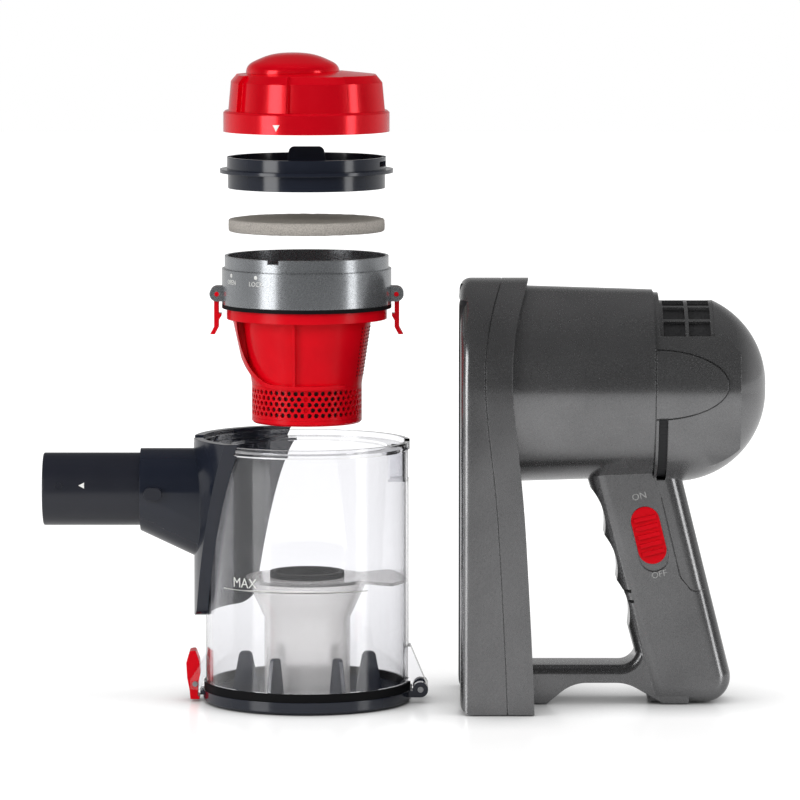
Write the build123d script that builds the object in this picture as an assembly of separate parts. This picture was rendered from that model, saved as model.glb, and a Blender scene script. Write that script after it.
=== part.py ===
from build123d import *
import os
from math import atan2, cos, degrees, pi, radians, sin

# A cordless handheld vacuum, laid out as an exploded set: the clear dust cup stands on
# the floor with the filter stack raised above it, and the motor body stands to its right.
# Millimetres, +Z up. The origin is where the cup's axis meets the floor, +X points from
# the cup to the motor body and -Y faces the viewer.

# Fits
seat_gap = 0.2
run_gap = 0.3
pin_gap = 0.05

# Half length of a cut that goes right through
through = 100.0

# Dust cup
cup_radius = 56.0
cup_wall = 2.0
cup_top_z = 144.0
rim_height = 4.0
rim_proud = 1.0
deck_drop = 3.0
deck_thickness = 2.0

# Bottom lid
lid_proud = 1.5
lid_height = 6.5
lid_floor = 3.0
lid_seal_height = 4.5
lid_seal_width = 4.0
fin_count = 6
fin_inner = 26.0
fin_outer = 42.0
fin_height = 24.0
fin_thickness = 2.4
hinge_offset = 5.0
hinge_z = 7.0
hinge_pin_radius = 1.6
knuckle_radius = 4.2
hinge_lug_width = 14.0
knuckle_width = 5.6
latch_offset = 4.3
latch_z = 9.5
latch_pin_radius = 1.4
latch_width = 13.0
latch_height = 28.0
latch_hook = 2.4
ear_thickness = 2.0

# Funnel that keeps the settled dust down
funnel_top_z = 68.5
funnel_top_radius = 34.0
funnel_mouth_radius = 19.0
funnel_tube_radius = 23.7
funnel_neck_z = 46.0
funnel_wall = 1.8
funnel_shelf_angle = 64.0
funnel_seal_height = 3.0
funnel_seal_width = 3.0

# Inlet duct and tube
tube_radius = 20.0
tube_bore_radius = 17.5
tube_length = 71.0
tube_z = 117.0
tube_tip_x = -145.0
duct_neck_radius = 22.5
duct_neck_length = 32.0
duct_flare_drop = 17.0
socket_depth = 17.5
inlet_z = 103.0
flange_thickness = 5.0
flange_top_z = 146.0
flange_foot_z = 48.0
flange_near_top = 44.0
flange_far_top = 56.5
flange_near_foot = 14.0
flange_far_foot = 47.0
flange_corner = 9.0
button_length = 10.0
button_height = 7.0
button_proud = 1.8
button_stem_radius = 3.2
button_travel = 1.5
button_inset = 7.5

# Head ring, its seal and the red cone
head_rest_z = 217.3
head_seal_thickness = 2.2
head_seal_width = 4.0
ring_radius = 46.5
ring_height = 19.5
neck_radius = 45.0
neck_height = 7.0
neck_wall = 1.6
shelf_height = 9.0
shelf_width = 5.0
shelf_thickness = 1.8
shelf_bar_width = 3.0
neck_notch_width = 6.5
neck_notch_depth = 2.2
neck_notch_angle = 247.0
cone_flange_radius = 44.0
cone_flange_height = 6.0
cone_top_radius = 35.5
cone_foot_radius = 30.2
cone_wall = 1.8
cone_height = 42.0
mesh_height = 18.0
cone_base_height = 3.0
mesh_wall = 1.4
mesh_rows = 5
mesh_holes = 50
mesh_hole_size = 2.7
mesh_panels = 6
mesh_rib_width = 2.4
vane_thickness = 2.4
vane_top_radius = 40.5
vane_foot_radius = 32.6
vane_foot_depth = 43.0
vane_steps = 10
rib_x = -6.6
rib_width = 1.6
rib_depth = 3.2

# Side clips
clip_pivot_radius = 49.2
clip_pivot_height = 7.7
clip_pin_radius = 1.3
clip_width = 7.4
clip_arm_inner = 48.2
clip_arm_thickness = 2.6
clip_length = 18.2
clip_tail = 4.6
clip_tail_angle = 28.0
clip_hook = 1.5
clip_hook_height = 3.8
clip_hook_edge = 1.2
clip_hook_gap = 0.5
bracket_radius = 4.0
bracket_ear = 2.4
pocket_depth = 18.0
pocket_half_width = 7.0
pocket_wall = 1.2
pocket_inner = 45.6
lip_depth = 0.8
lip_height = 2.4

# Foam disc and filter tray
foam_thickness = 7.4
foam_rest_z = 259.0
foam_round = 0.8
tray_rest_z = 291.5
tray_flange_radius = 47.5
tray_flange_thickness = 2.0
tray_rim_height = 6.6
tray_rim_wall = 1.8
tray_skirt_depth = 8.4
tray_skirt_wall = 1.6
tray_tab_width = 23.0
tray_tab_height = 5.6
tray_tab_thickness = 3.0
tray_spokes = 6
tray_spoke_width = 2.4
tray_hub_radius = 7.0
tray_floor = 1.6
filter_pleats = 14

# Filter cap
cap_rest_z = 314.0
cap_radius = 45.5
cap_wall = 1.6
cap_skirt_height = 11.5
cap_side_height = 27.0
cap_crown_height = 33.0
cap_crown_wall = 2.6
cap_flutes = 8
cap_flute_step = 3.0
cap_flute_radius = 44.4
cap_flute_swell = 0.3
cap_crown_turn = -14.0
cap_flute_turn = 256.5
cap_seal_thickness = 2.0
cap_seal_width = 3.0
cap_dome_radius = 25.6
cap_dome_height = 11.0
cap_dome_sink = 1.0
cap_dome_offset = -7.4
cap_twist = 18.0
lug_height = 2.2
lug_span = 8.0
lug_lift = 2.1
outlet_half_angle = 20.0
outlet_low = 12.5
outlet_high = 26.0

# Motor body
dock_x = 84.0
dock_depth = 11.0
dock_gap = 1.8
saddle_wall = 2.4
saddle_ceiling_z = 221.0
notch_side_room = 4.0
notch_room = 1.9
body_half_width = 58.0
motor_z = 175.5
shell_wall = 2.4
spine_top_x = 124.3
spine_waist_x = 112.0
spine_foot_x = 124.3
spine_waist_z = 182.0
spine_knee_z = 127.0
spine_knee_x = 117.0
spine_seam = 15.0
seam_width = 0.6
seam_depth = 0.9
front_round = 6.0
port_half_width = 16.0
port_low_z = 184.0
port_high_z = 198.0
snout_wall = 2.0

# Drum, rear cover and exhaust
drum_inset = 3.6
drum_taper = 2.8
drum_rear_x = 190.0
dome_inset = 1.6
dome_x = 202.0
dome_step_x = 236.0
cheek_inset = 3.0
cheek_rise = 30.5
grille_drop = 4.4
grille_wall = 2.4
grille_half_angle = 54.0
grille_front_x = 192.5
grille_rear_x = 222.0
grille_rows = 6
grille_columns = 2
grille_bar = 2.0
foam_ring_thickness = 4.0
tongue_low_z = 160.5
tongue_high_z = 197.5
tongue_tip_x = 229.0
tongue_proud = 1.5
side_vent_front = 191.5
side_vent_rear = 196.5
side_vent_low_z = 124.0
side_vent_high_z = 161.0
side_vent_depth = 1.7
belly_drop = 4.0

# Handle loop
grip_half_width = 19.0
grip_front_top_x = 152.0
grip_front_foot_x = 188.0
grip_rear_top_x = 204.0
grip_rear_foot_x = 237.0
grip_top_z = 132.0
grip_round = 10.0
heel_round = 14.0
groove_count = 3
groove_depth = 2.6
groove_radius = 31.0
slit_top_z = 62.4
slit_pitch = 5.7
slit_count = 2
slit_height = 1.5
slit_depth = 7.0
slit_inner = 9.0
groove_top_z = 98.0
groove_pitch = 25.0
bar_top_z = 21.0
bar_crown_z = 11.5
bar_half_width = 17.0
bar_round = 5.0
arch_front_x = 132.0
arch_rear_x = 196.0
arch_round = 22.0
crotch_round = 9.0
tail_top_x = 194.5
tail_top_z = 114.5
tail_mid_x = 205.2
tail_mid_z = 70.5
tail_foot_z = 63.0
tail_round = 5.0
switch_x = 187.5
switch_z = 93.5
switch_length = 32.0
switch_width = 15.6
switch_travel = 4.2
switch_proud = 2.2
switch_ribs = 5

# Motor, battery and electronics
shaft_radius = 2.5
shaft_front_x = 122.5
shaft_rear_x = 184.0
impeller_gap = 3.4
impeller_front_x = 127.0
impeller_width = 8.0
impeller_disc = 1.6
impeller_hub_radius = 7.0
impeller_blades = 9
blade_lean = 24.0
shroud_inset = 15.4
shroud_wall = 1.6
shroud_front_x = 124.0
shroud_length = 15.0
shroud_eye_radius = 16.0
motor_radius = 27.0
motor_wall = 2.0
motor_front_x = 139.0
motor_rear_x = 183.0
rotor_radius = 15.0
stator_gap = 0.8
stator_teeth = 6
core_front_x = 149.0
core_rear_x = 173.0
bearing_radius = 8.0
bearing_width = 5.0
mount_front_x = 150.0
mount_rear_x = 168.0
mount_width = 5.0
mount_holes = 8
mount_hole_radius = 6.5
cell_radius = 9.0
cell_length = 65.0
cell_x = 98.3
cell_side_gap = 0.4
cell_gap = 1.0
cell_cap_height = 3.0
board_width = 30.0
board_height = 44.0
board_thickness = 1.6
board_low_z = 56.0
board_stand = 5.0
jack_radius = 4.5
jack_mouth = 2.8
jack_pin = 0.8
jack_length = 9.0
jack_z = 45.0
screw_inset = 10.4
screw_radius = 1.6
screw_head_radius = 3.0
screw_head_height = 2.0
boss_radius = 4.0
switch_block_size = 12.0

# Places that follow from the sizes above
lid_seal_top_z = lid_height + lid_seal_height
cup_base_z = lid_seal_top_z + seat_gap
cup_bore = cup_radius - cup_wall
deck_top_z = cup_top_z - deck_drop
deck_hole_radius = cone_flange_radius + run_gap
lid_radius = cup_radius + lid_proud
hinge_x = lid_radius + hinge_offset
latch_x = -(lid_radius + latch_offset)
duct_mouth_x = tube_tip_x + tube_length - socket_depth
duct_root_x = -(cup_radius + run_gap)
inlet_radius = tube_bore_radius
ring_base_z = head_rest_z + head_seal_thickness
ring_step_z = ring_base_z + ring_height
neck_top_z = ring_step_z + neck_height
neck_bore = neck_radius - neck_wall
shelf_top_z = ring_base_z + shelf_height
clip_pivot_z = head_rest_z + clip_pivot_height
head_drop = head_rest_z - deck_top_z - seat_gap
foam_radius = neck_bore - run_gap
foam_drop = foam_rest_z - shelf_top_z - seat_gap
tray_skirt_radius = neck_bore - run_gap
tray_drop = tray_rest_z - neck_top_z - seat_gap - foam_drop
tray_flange_top_z = tray_rest_z + tray_flange_thickness
tray_rim_radius = cap_radius - cap_wall - run_gap
cap_bore = cap_radius - cap_wall
cap_drop = cap_rest_z - tray_flange_top_z - seat_gap
cap_seal_z = cap_rest_z + tray_rim_height
cap_shoulder = tray_rim_height + cap_seal_thickness + seat_gap
saddle_radius = cup_radius + dock_gap
saddle_x = dock_x + dock_depth - saddle_radius
dock_travel = saddle_x
crown_z = motor_z + body_half_width
drum_front_radius = body_half_width - drum_inset
drum_rear_radius = drum_front_radius - drum_taper
dome_radius = drum_rear_radius - dome_inset
cheek_round = dome_radius - cheek_inset
grille_radius = dome_radius - grille_drop
screw_circle = drum_front_radius - screw_inset
shroud_radius = drum_front_radius - shroud_inset
impeller_radius = shroud_radius - shroud_wall - impeller_gap
cell_y = body_half_width - shell_wall - cell_radius - cell_side_gap
dome_end_x = dome_x + dome_radius
spine_bow = [
    (spine_foot_x, -4),
    ((spine_foot_x + spine_knee_x) / 2, spine_knee_z * 0.6),
    (spine_knee_x, spine_knee_z),
    (spine_waist_x, spine_waist_z),
    (spine_top_x, crown_z + 6),
]
motor_axis = Axis((0, 0, motor_z), (1, 0, 0))
grip_lean = degrees(atan2(grip_rear_foot_x - grip_rear_top_x, grip_top_z))


def disc(radius, low, high, x=0.0, y=0.0):
    """Upright round bar."""
    bar = Cylinder(radius, high - low, align=(Align.CENTER, Align.CENTER, Align.MIN))
    return Pos(x, y, low) * bar


def ring(outer, inner, low, high):
    """Upright round sleeve about the cup's axis."""
    return disc(outer, low, high) - disc(inner, low - 1, high + 1)


def rod_x(radius, front, rear, z, y=0.0):
    """Round bar along X."""
    bar = Cylinder(radius, rear - front, align=(Align.CENTER, Align.CENTER, Align.MIN))
    return Pos(front, y, z) * Rot(0, 90, 0) * bar


def rod_y(radius, near, far, x, z):
    """Round bar along Y."""
    bar = Cylinder(radius, far - near, align=(Align.CENTER, Align.CENTER, Align.MIN))
    return Pos(x, near, z) * Rot(-90, 0, 0) * bar


def block(x_low, x_high, y_low, y_high, z_low, z_high):
    """Box between two corners."""
    box = Box(x_high - x_low, y_high - y_low, z_high - z_low, align=Align.MIN)
    return Pos(x_low, y_low, z_low) * box


def area(*points):
    """Flat face with straight sides."""
    return make_face(Polyline(*points, close=True))


def side_prism(face, near, far):
    """Face drawn in X and Z, drawn out from near to far along Y."""
    return extrude(Plane.XZ.offset(-far) * face, amount=far - near)


def front_prism(face, front, rear):
    """Face drawn in Y and Z, drawn out from front to rear along X."""
    return extrude(Plane.YZ.offset(front) * face, amount=rear - front)


def turned(face):
    """Face drawn in radius and Z, turned about the cup's axis."""
    return revolve(Plane.XZ * face, Axis.Z)


def turned_x(face):
    """Face drawn in X and radius, turned about the motor's axis."""
    return revolve(Plane.XZ.offset(0) * Pos(0, motor_z) * face, motor_axis)


def about_axis(solid, angle):
    """Solid turned about the cup's axis."""
    return Rot(0, 0, angle) * solid


def save(name, shape):
    export_step(shape, f"parts/{name}.step")


# Dust cup


def clip_pocket():
    """Room for one clip: the walls that are added and the space that is cut."""
    half = pocket_half_width
    floor = deck_top_z - pocket_depth
    walls = block(
        pocket_inner - pocket_wall,
        cup_radius,
        -half - pocket_wall,
        half + pocket_wall,
        floor - pocket_wall,
        deck_top_z,
    )
    walls &= disc(cup_radius - cup_wall / 2, 0, cup_top_z)
    space = block(pocket_inner, cup_radius + 20, -half, half, floor, cup_top_z + 1)
    lip = block(
        pocket_inner - pocket_wall / 2,
        pocket_inner + lip_depth,
        -half,
        half,
        deck_top_z - lip_height,
        deck_top_z,
    )
    return walls, space, lip


def hinge_lug():
    """Web and eye that carry the lid's hinge pin."""
    half = hinge_lug_width / 2
    wall_x = cup_radius - cup_wall / 2
    near_x = lid_radius + run_gap
    web = area(
        (wall_x, cup_base_z),
        (near_x, cup_base_z),
        (near_x, hinge_z),
        (hinge_x + knuckle_radius, hinge_z),
        (cup_radius + 1, cup_base_z + 19),
        (wall_x, cup_base_z + 19),
    )
    eye = rod_y(knuckle_radius, -half, half, hinge_x, hinge_z)
    return side_prism(web, -half, half) + eye


def latch_ears():
    """Two ears that carry the latch's pin."""
    wall_x = -(cup_radius - cup_wall / 2)
    reach = latch_x - 2.6
    ear = area(
        (wall_x, cup_base_z),
        (-lid_radius - run_gap, cup_base_z),
        (-lid_radius - run_gap, latch_z - 3.2),
        (reach, latch_z - 3.2),
        (reach, latch_z + 2.6),
        (wall_x, latch_z + 17),
    )
    inner = latch_width / 2 + run_gap
    outer = inner + ear_thickness
    return side_prism(ear, inner, outer) + side_prism(ear, -outer, -inner)


def dust_cup():
    wall = ring(cup_radius, cup_bore, cup_base_z, cup_top_z)
    bead = ring(cup_radius + rim_proud, cup_radius - cup_wall / 2, cup_top_z - rim_height, cup_top_z)
    deck = ring(cup_radius - cup_wall / 2, deck_hole_radius, deck_top_z - deck_thickness, deck_top_z)
    cup = wall + bead + deck
    walls, space, lip = clip_pocket()
    for turn in (0, 180):
        cup = cup + about_axis(walls, turn) - about_axis(space, turn) + about_axis(lip, turn)
    cup -= rod_x(inlet_radius, -cup_radius - 10, -cup_bore + 12, inlet_z)
    cup += hinge_lug()
    cup += latch_ears()
    cup -= rod_y(hinge_pin_radius, -through, through, hinge_x, hinge_z)
    cup -= rod_y(latch_pin_radius, -through, through, latch_x, latch_z)
    return cup


def hinge_pin():
    reach = hinge_lug_width / 2 + run_gap + knuckle_width
    return rod_y(hinge_pin_radius, -reach, reach, hinge_x, hinge_z)


def latch_pin():
    reach = latch_width / 2 + run_gap + ear_thickness
    return rod_y(latch_pin_radius, -reach, reach, latch_x, latch_z)


def dust_funnel():
    """Mushroom funnel over a tube, held to the cup by a shelf."""
    top = funnel_top_z
    shade = area(
        (funnel_mouth_radius, top),
        (funnel_top_radius, top),
        (funnel_tube_radius, funnel_neck_z),
        (funnel_tube_radius, lid_floor + run_gap),
        (funnel_tube_radius - funnel_wall, lid_floor + run_gap),
        (funnel_tube_radius - funnel_wall, funnel_neck_z),
        (funnel_top_radius - 2 * funnel_wall, top - funnel_wall),
        (funnel_mouth_radius, top - funnel_wall),
    )
    shelf = ring(cup_bore, funnel_top_radius - funnel_wall, top - funnel_wall, top)
    reach = cup_radius * 1.5
    half = radians(funnel_shelf_angle / 2)
    wedge = area((0, 0), (reach * cos(half), -reach * sin(half)), (reach * cos(half), reach * sin(half)))
    shelf &= extrude(wedge, amount=top + 1)
    return turned(shade) + shelf


def funnel_seal():
    outer = funnel_mouth_radius + funnel_seal_width / 2
    collar = ring(outer, outer - funnel_seal_width, funnel_top_z, funnel_top_z + funnel_seal_height)
    spigot = ring(funnel_mouth_radius, outer - funnel_seal_width, funnel_top_z - funnel_wall, funnel_top_z)
    return collar + spigot


# Lid and latch


def lid_fin():
    """Round-topped fin that stands on the lid."""
    middle = (fin_inner + fin_outer) / 2
    top = lid_floor + fin_height
    face = area(
        (fin_inner, lid_floor - 0.5),
        (fin_outer, lid_floor - 0.5),
        (middle + 3.4, top),
        (middle - 3.4, top),
    )
    corners = [v for v in face.vertices() if v.Y > lid_floor]
    return side_prism(fillet(corners, 3.0), -fin_thickness / 2, fin_thickness / 2)


def bottom_lid():
    tray = disc(lid_radius, 0, lid_height)
    tray = chamfer(tray.edges().group_by(Axis.Z)[0], 1.2)
    lid = tray - disc(cup_bore, lid_floor, lid_height + 1)
    for index in range(fin_count):
        lid += about_axis(lid_fin(), index * 360 / fin_count)
    inner = hinge_lug_width / 2 + run_gap
    outer = inner + knuckle_width
    for near, far in ((inner, outer), (-outer, -inner)):
        lid += block(lid_radius - 4, hinge_x, near, far, hinge_z - knuckle_radius, lid_height)
        lid += rod_y(knuckle_radius, near, far, hinge_x, hinge_z)
    lid -= rod_y(hinge_pin_radius + pin_gap, -through, through, hinge_x, hinge_z)
    lid += block(-lid_radius - 1.6, -lid_radius + 3, -4, 4, 3.0, lid_height)
    return lid


def lid_seal():
    outer = lid_radius - 0.5
    return ring(outer, outer - lid_seal_width, lid_height, lid_seal_top_z)


def lid_latch():
    """Paddle above the pin, hook under the lid's catch below it."""
    x = latch_x
    paddle = area(
        (x - 2.6, 0.8),
        (x + latch_hook, 0.8),
        (x + latch_hook, 2.2),
        (x + 1.4, 2.7),
        (x + 1.8, latch_z + 1),
        (x + 2.8, latch_z + 5),
        (x + 2.4, latch_height - 6),
        (x + 0.2, latch_height),
        (x - 3.0, latch_height - 0.6),
        (x - 4.9, latch_height - 7),
        (x - 4.4, latch_z + 3),
        (x - 3.2, latch_z - 3),
    )
    rounded = [v for v in paddle.vertices() if v.Y > latch_height - 2]
    lever = side_prism(fillet(rounded, 1.2), -latch_width / 2, latch_width / 2)
    return lever - rod_y(latch_pin_radius + pin_gap, -through, through, latch_x, latch_z)


# Inlet


def duct_flange():
    """Shield that wraps the cup, wide at the rim and narrow at its foot."""
    shield = area(
        (-flange_near_top, flange_top_z),
        (flange_far_top, flange_top_z),
        (flange_far_foot, flange_foot_z),
        (-flange_near_foot, flange_foot_z),
    )
    shield = fillet([v for v in shield.vertices() if v.Y < cup_top_z], flange_corner)
    inner = cup_radius + rim_proud + run_gap
    band = ring(inner + flange_thickness, cup_radius + run_gap, flange_foot_z - 1, flange_top_z + 1)
    band -= ring(inner, cup_radius - 1, cup_top_z - rim_height - run_gap, flange_top_z + 2)
    return band & front_prism(shield, -cup_radius * 2, 0)


def inlet_duct():
    flange = duct_flange()
    sections = []
    for x, drop in ((duct_mouth_x, 0.4), (duct_root_x, duct_flare_drop)):
        oval = Pos(0, tube_z - drop / 2) * Rot(0, 0, 90) * SlotCenterToCenter(drop, 2 * duct_neck_radius)
        sections.append(Plane.YZ.offset(x) * oval)
    horn = loft(sections, ruled=True)
    horn -= disc(cup_radius + rim_proud + run_gap, 0, 2 * cup_top_z)
    duct = flange + horn
    seat_x = duct_mouth_x + socket_depth + run_gap
    duct -= rod_x(tube_radius + pin_gap, duct_mouth_x - 1, seat_x, tube_z)
    throat_in = Plane.YZ.offset(seat_x - 0.5) * Pos(0, tube_z) * Circle(tube_bore_radius)
    throat_out = Plane.YZ.offset(-cup_bore) * Pos(0, inlet_z) * Circle(inlet_radius)
    duct -= loft([throat_in, throat_out])
    half = pocket_half_width
    duct -= block(-cup_radius * 2, 0, -half, half, tube_z + duct_neck_radius + 3, flange_top_z + 1)
    duct -= rod_y(button_stem_radius + pin_gap, -40, 0, duct_mouth_x + button_inset, tube_z)
    return duct


def inlet_tube():
    tube = rod_x(tube_radius, tube_tip_x, tube_tip_x + tube_length, tube_z)
    tube -= rod_x(tube_bore_radius, tube_tip_x - 1, tube_tip_x + tube_length + 1, tube_z)
    tube = fillet(tube.edges().group_by(Axis.X)[0], 0.9)
    dimple = tube_radius - button_travel - run_gap
    tube -= rod_y(button_stem_radius + run_gap, -40, -dimple, duct_mouth_x + button_inset, tube_z)
    return tube


def tube_button():
    x = duct_mouth_x + button_inset
    stem = rod_y(button_stem_radius, -duct_neck_radius - 1, -tube_radius - run_gap, x, tube_z)
    low = duct_neck_radius + button_travel + run_gap
    pad = Plane.XZ.offset(low) * Pos(x, tube_z) * SlotOverall(button_length, button_height)
    head = extrude(pad, amount=button_proud)
    bridge = rod_y(button_stem_radius, -low - 0.5, -duct_neck_radius, x, tube_z)
    return stem + bridge + head


# Head ring and cone


def clip_brackets():
    """Two clevises that stand on the ring's sides, each a pair of rounded ears."""
    inner = clip_width / 2 + run_gap
    outer = inner + bracket_ear
    foot = max(clip_pivot_z - bracket_radius, ring_base_z)
    ears = []
    for near, far in ((inner, outer), (-outer, -inner)):
        ear = block(neck_bore, clip_pivot_radius, near, far, foot, clip_pivot_z + bracket_radius)
        ear += rod_y(bracket_radius, near, far, clip_pivot_radius, clip_pivot_z)
        ear -= disc(ring_radius, 0, ring_step_z)
        ear -= rod_y(clip_pin_radius, -through, through, clip_pivot_radius, clip_pivot_z)
        ears += [about_axis(ear, 0), about_axis(ear, 180)]
    return Compound(children=ears)


def head_ring():
    body = ring(ring_radius, neck_bore, ring_base_z, ring_step_z)
    body += ring(neck_radius, neck_bore, ring_step_z - 1, neck_top_z)
    shelf = ring(neck_bore + 0.5, neck_bore - shelf_width, shelf_top_z - shelf_thickness, shelf_top_z)
    reach = neck_bore - shelf_width / 2
    half = shelf_bar_width / 2
    for turn in (0, 60, 120):
        bar = block(-reach, reach, -half, half, shelf_top_z - shelf_thickness, shelf_top_z)
        shelf += about_axis(bar, turn)
    body += shelf
    body -= disc(neck_bore - shelf_width, 0, ring_base_z)
    half = neck_notch_width / 2
    notch = block(neck_bore - 1, ring_radius, -half, half, neck_top_z - neck_notch_depth, neck_top_z + 1)
    body -= about_axis(notch, neck_notch_angle)
    return body


def clip_pins():
    reach = clip_width / 2 + run_gap + bracket_ear
    pins = []
    for x in (-clip_pivot_radius, clip_pivot_radius):
        pins.append(rod_y(clip_pin_radius, -reach, reach, x, clip_pivot_z))
    return Compound(children=pins)


def head_seal():
    return ring(ring_radius, ring_radius - head_seal_width, head_rest_z, ring_base_z)


def cone_vane():
    """Fin that sweeps from the flange at the left down to a ledge at the front of the mesh."""
    top = head_rest_z - cone_flange_height + 0.5
    low = head_rest_z - vane_foot_depth
    turn_x = -vane_foot_radius / 2
    lower = []
    upper = []
    for step in range(vane_steps + 1):
        angle = radians(90 * step / vane_steps)
        lower.append((turn_x + (vane_top_radius + turn_x) * -cos(angle), top - (top - low) * sin(angle)))
        reach = vane_top_radius + turn_x - vane_thickness
        upper.append((turn_x - reach * cos(angle), top - (top - low - vane_thickness) * sin(angle)))
    end_x = vane_foot_radius * 0.66
    band = area(*lower, (end_x, low), (end_x, low + vane_thickness), *reversed(upper))
    foot = head_rest_z - cone_height
    envelope = turned(
        area(
            (cone_foot_radius, low - 0.5),
            (vane_foot_radius, low - 0.5),
            (vane_top_radius + 0.4, top),
            (cone_top_radius - cone_wall / 2, top),
            (cone_foot_radius - cone_wall / 2, foot),
            (cone_foot_radius, foot),
        )
    )
    web = area(*lower, (0, low), (0, top))
    fin = side_prism(band, -cone_flange_radius, 0) + side_prism(web, -vane_thickness, 0)
    return fin & envelope


def cyclone_cone():
    top = head_rest_z
    neck = top - cone_flange_height
    foot = top - cone_height
    base = foot - mesh_height - cone_base_height
    collar_outer = ring_radius - head_seal_width - run_gap
    wall = area(
        (collar_outer - cone_wall, ring_base_z + 3),
        (collar_outer, ring_base_z + 3),
        (collar_outer, top),
        (cone_flange_radius, top),
        (cone_flange_radius, neck),
        (cone_top_radius, neck),
        (cone_foot_radius, foot),
        (cone_foot_radius - mesh_wall - cone_wall, foot),
        (cone_top_radius - cone_wall, neck + cone_wall),
        (collar_outer - cone_wall, top - cone_wall),
    )
    cone = turned(wall)
    pan = area(
        (0, base),
        (cone_foot_radius - 1, base),
        (cone_foot_radius, base + 1),
        (cone_foot_radius, base + cone_base_height),
        (cone_foot_radius - 2 * mesh_wall - cone_wall, base + cone_base_height),
        (cone_foot_radius - 2 * mesh_wall - cone_wall, base + cone_wall),
        (0, base + cone_wall),
    )
    cone += turned(pan)
    outer = cone_foot_radius - mesh_wall
    for index in range(mesh_panels):
        rib = block(outer - cone_wall, outer, -mesh_rib_width / 2, mesh_rib_width / 2, base + 1.5, foot + 1.5)
        rib &= disc(outer, base, foot + 2)
        cone += about_axis(rib, (index + 0.5) * 360 / mesh_panels)
    low = top - vane_foot_depth
    post = block(rib_x - rib_width / 2, rib_x + rib_width / 2, -cone_flange_radius, 0, low + 0.5, neck + 0.5)
    post &= turned(
        area(
            (cone_foot_radius, low),
            (cone_foot_radius + rib_depth - 0.8, low),
            (cone_top_radius + rib_depth, neck + 1),
            (cone_top_radius - 0.6, neck + 1),
            (cone_foot_radius - 0.6, foot),
            (cone_foot_radius, foot),
        )
    )
    return cone + cone_vane() + post


def cone_mesh():
    """Perforated sleeve in equal panels, with staggered rows of six-sided holes."""
    foot = head_rest_z - cone_height
    base = foot - mesh_height
    sleeve = ring(cone_foot_radius, cone_foot_radius - mesh_wall, base, foot)
    pitch = mesh_height / (mesh_rows + 1)
    holes = []
    for row in range(mesh_rows):
        for index in range(mesh_holes):
            turn = (index + 0.5 * (row % 2)) * 360 / mesh_holes
            hexagon = RegularPolygon(mesh_hole_size / 2, 6)
            prism = extrude(Plane.YZ.offset(cone_foot_radius - 2 * mesh_wall) * hexagon, amount=3 * mesh_wall)
            holes.append(about_axis(Pos(0, 0, base + (row + 1) * pitch) * prism, turn))
    return sleeve - holes


# Clips


def clip(turn):
    """Lever with a hook that catches the pocket's lip, drawn at +X."""
    low = clip_pivot_z - clip_length
    inner = clip_arm_inner
    outer = inner + clip_arm_thickness
    lip_low = head_rest_z - seat_gap - lip_height
    hook_top = lip_low - clip_hook_gap
    tail_x = clip_tail * sin(radians(clip_tail_angle))
    tail_z = clip_tail * cos(radians(clip_tail_angle))
    arm = area(
        (inner, clip_pivot_z),
        (inner, hook_top),
        (inner - clip_hook, hook_top),
        (inner - clip_hook, hook_top - clip_hook_edge),
        (inner, hook_top - clip_hook_height),
        (inner, low),
        (inner + tail_x, low - tail_z),
        (outer + tail_x, low - tail_z),
        (outer, low),
        (outer, clip_pivot_z),
    )
    half = clip_width / 2
    eye = rod_y(clip_pin_radius + 1.2, -half, half, clip_pivot_radius, clip_pivot_z)
    lever = side_prism(arm, -half, half) + eye
    lever -= rod_y(clip_pin_radius + pin_gap, -through, through, clip_pivot_radius, clip_pivot_z)
    return about_axis(lever, turn)


# Foam disc, tray and cap


def foam_disc():
    disc_body = disc(foam_radius, foam_rest_z, foam_rest_z + foam_thickness)
    return fillet(disc_body.edges(), foam_round)


def bayonet_slot(turn):
    """L-shaped slot through the tray's rim: an entry and a leg that the lug turns into."""
    low = tray_flange_top_z + lug_lift - run_gap
    high = low + lug_height + 2 * run_gap
    margin = lug_span / 2 + 1.0
    entry = sector(margin, -margin, low, tray_flange_top_z + tray_rim_height + 1)
    leg = sector(margin, -margin - cap_twist, low, high)
    slot = entry + leg
    return about_axis(slot, turn)


def sector(high_angle, low_angle, low, high):
    """Wedge about the cup's axis between two angles and two heights."""
    reach = 2 * cap_radius
    first = radians(low_angle)
    last = radians(high_angle)
    face = area((0, 0), (reach * cos(first), reach * sin(first)), (reach * cos(last), reach * sin(last)))
    return Pos(0, 0, low) * extrude(face, amount=high - low)


def filter_tray():
    low = tray_rest_z
    top = tray_flange_top_z
    tray = ring(tray_flange_radius, tray_skirt_radius - tray_skirt_wall, low, top)
    tray += ring(tray_skirt_radius, tray_skirt_radius - tray_skirt_wall, low - tray_skirt_depth, low + 0.5)
    tray += ring(tray_rim_radius, tray_rim_radius - tray_rim_wall, top - 0.5, top + tray_rim_height)
    tray += disc(tray_hub_radius, top - tray_floor, top)
    for index in range(tray_spokes):
        half = tray_spoke_width / 2
        spoke = block(0, tray_skirt_radius - tray_skirt_wall / 2, -half, half, top - tray_floor, top)
        tray += about_axis(spoke, index * 360 / tray_spokes)
    half = tray_tab_width / 2
    peak = top + tray_rim_height + tray_tab_height
    tab = area((-half, top - 0.5), (half, top - 0.5), (half - 2.2, peak), (2.2 - half, peak))
    tab = fillet([v for v in tab.vertices() if v.Y > top], 3.2)
    tray += side_prism(tab, -tray_tab_thickness / 2, tray_tab_thickness / 2)
    for turn in (0, 180):
        tray -= bayonet_slot(turn) - disc(tray_rim_radius - tray_rim_wall - 0.4, 0, 2 * cap_rest_z)
    return tray


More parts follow.
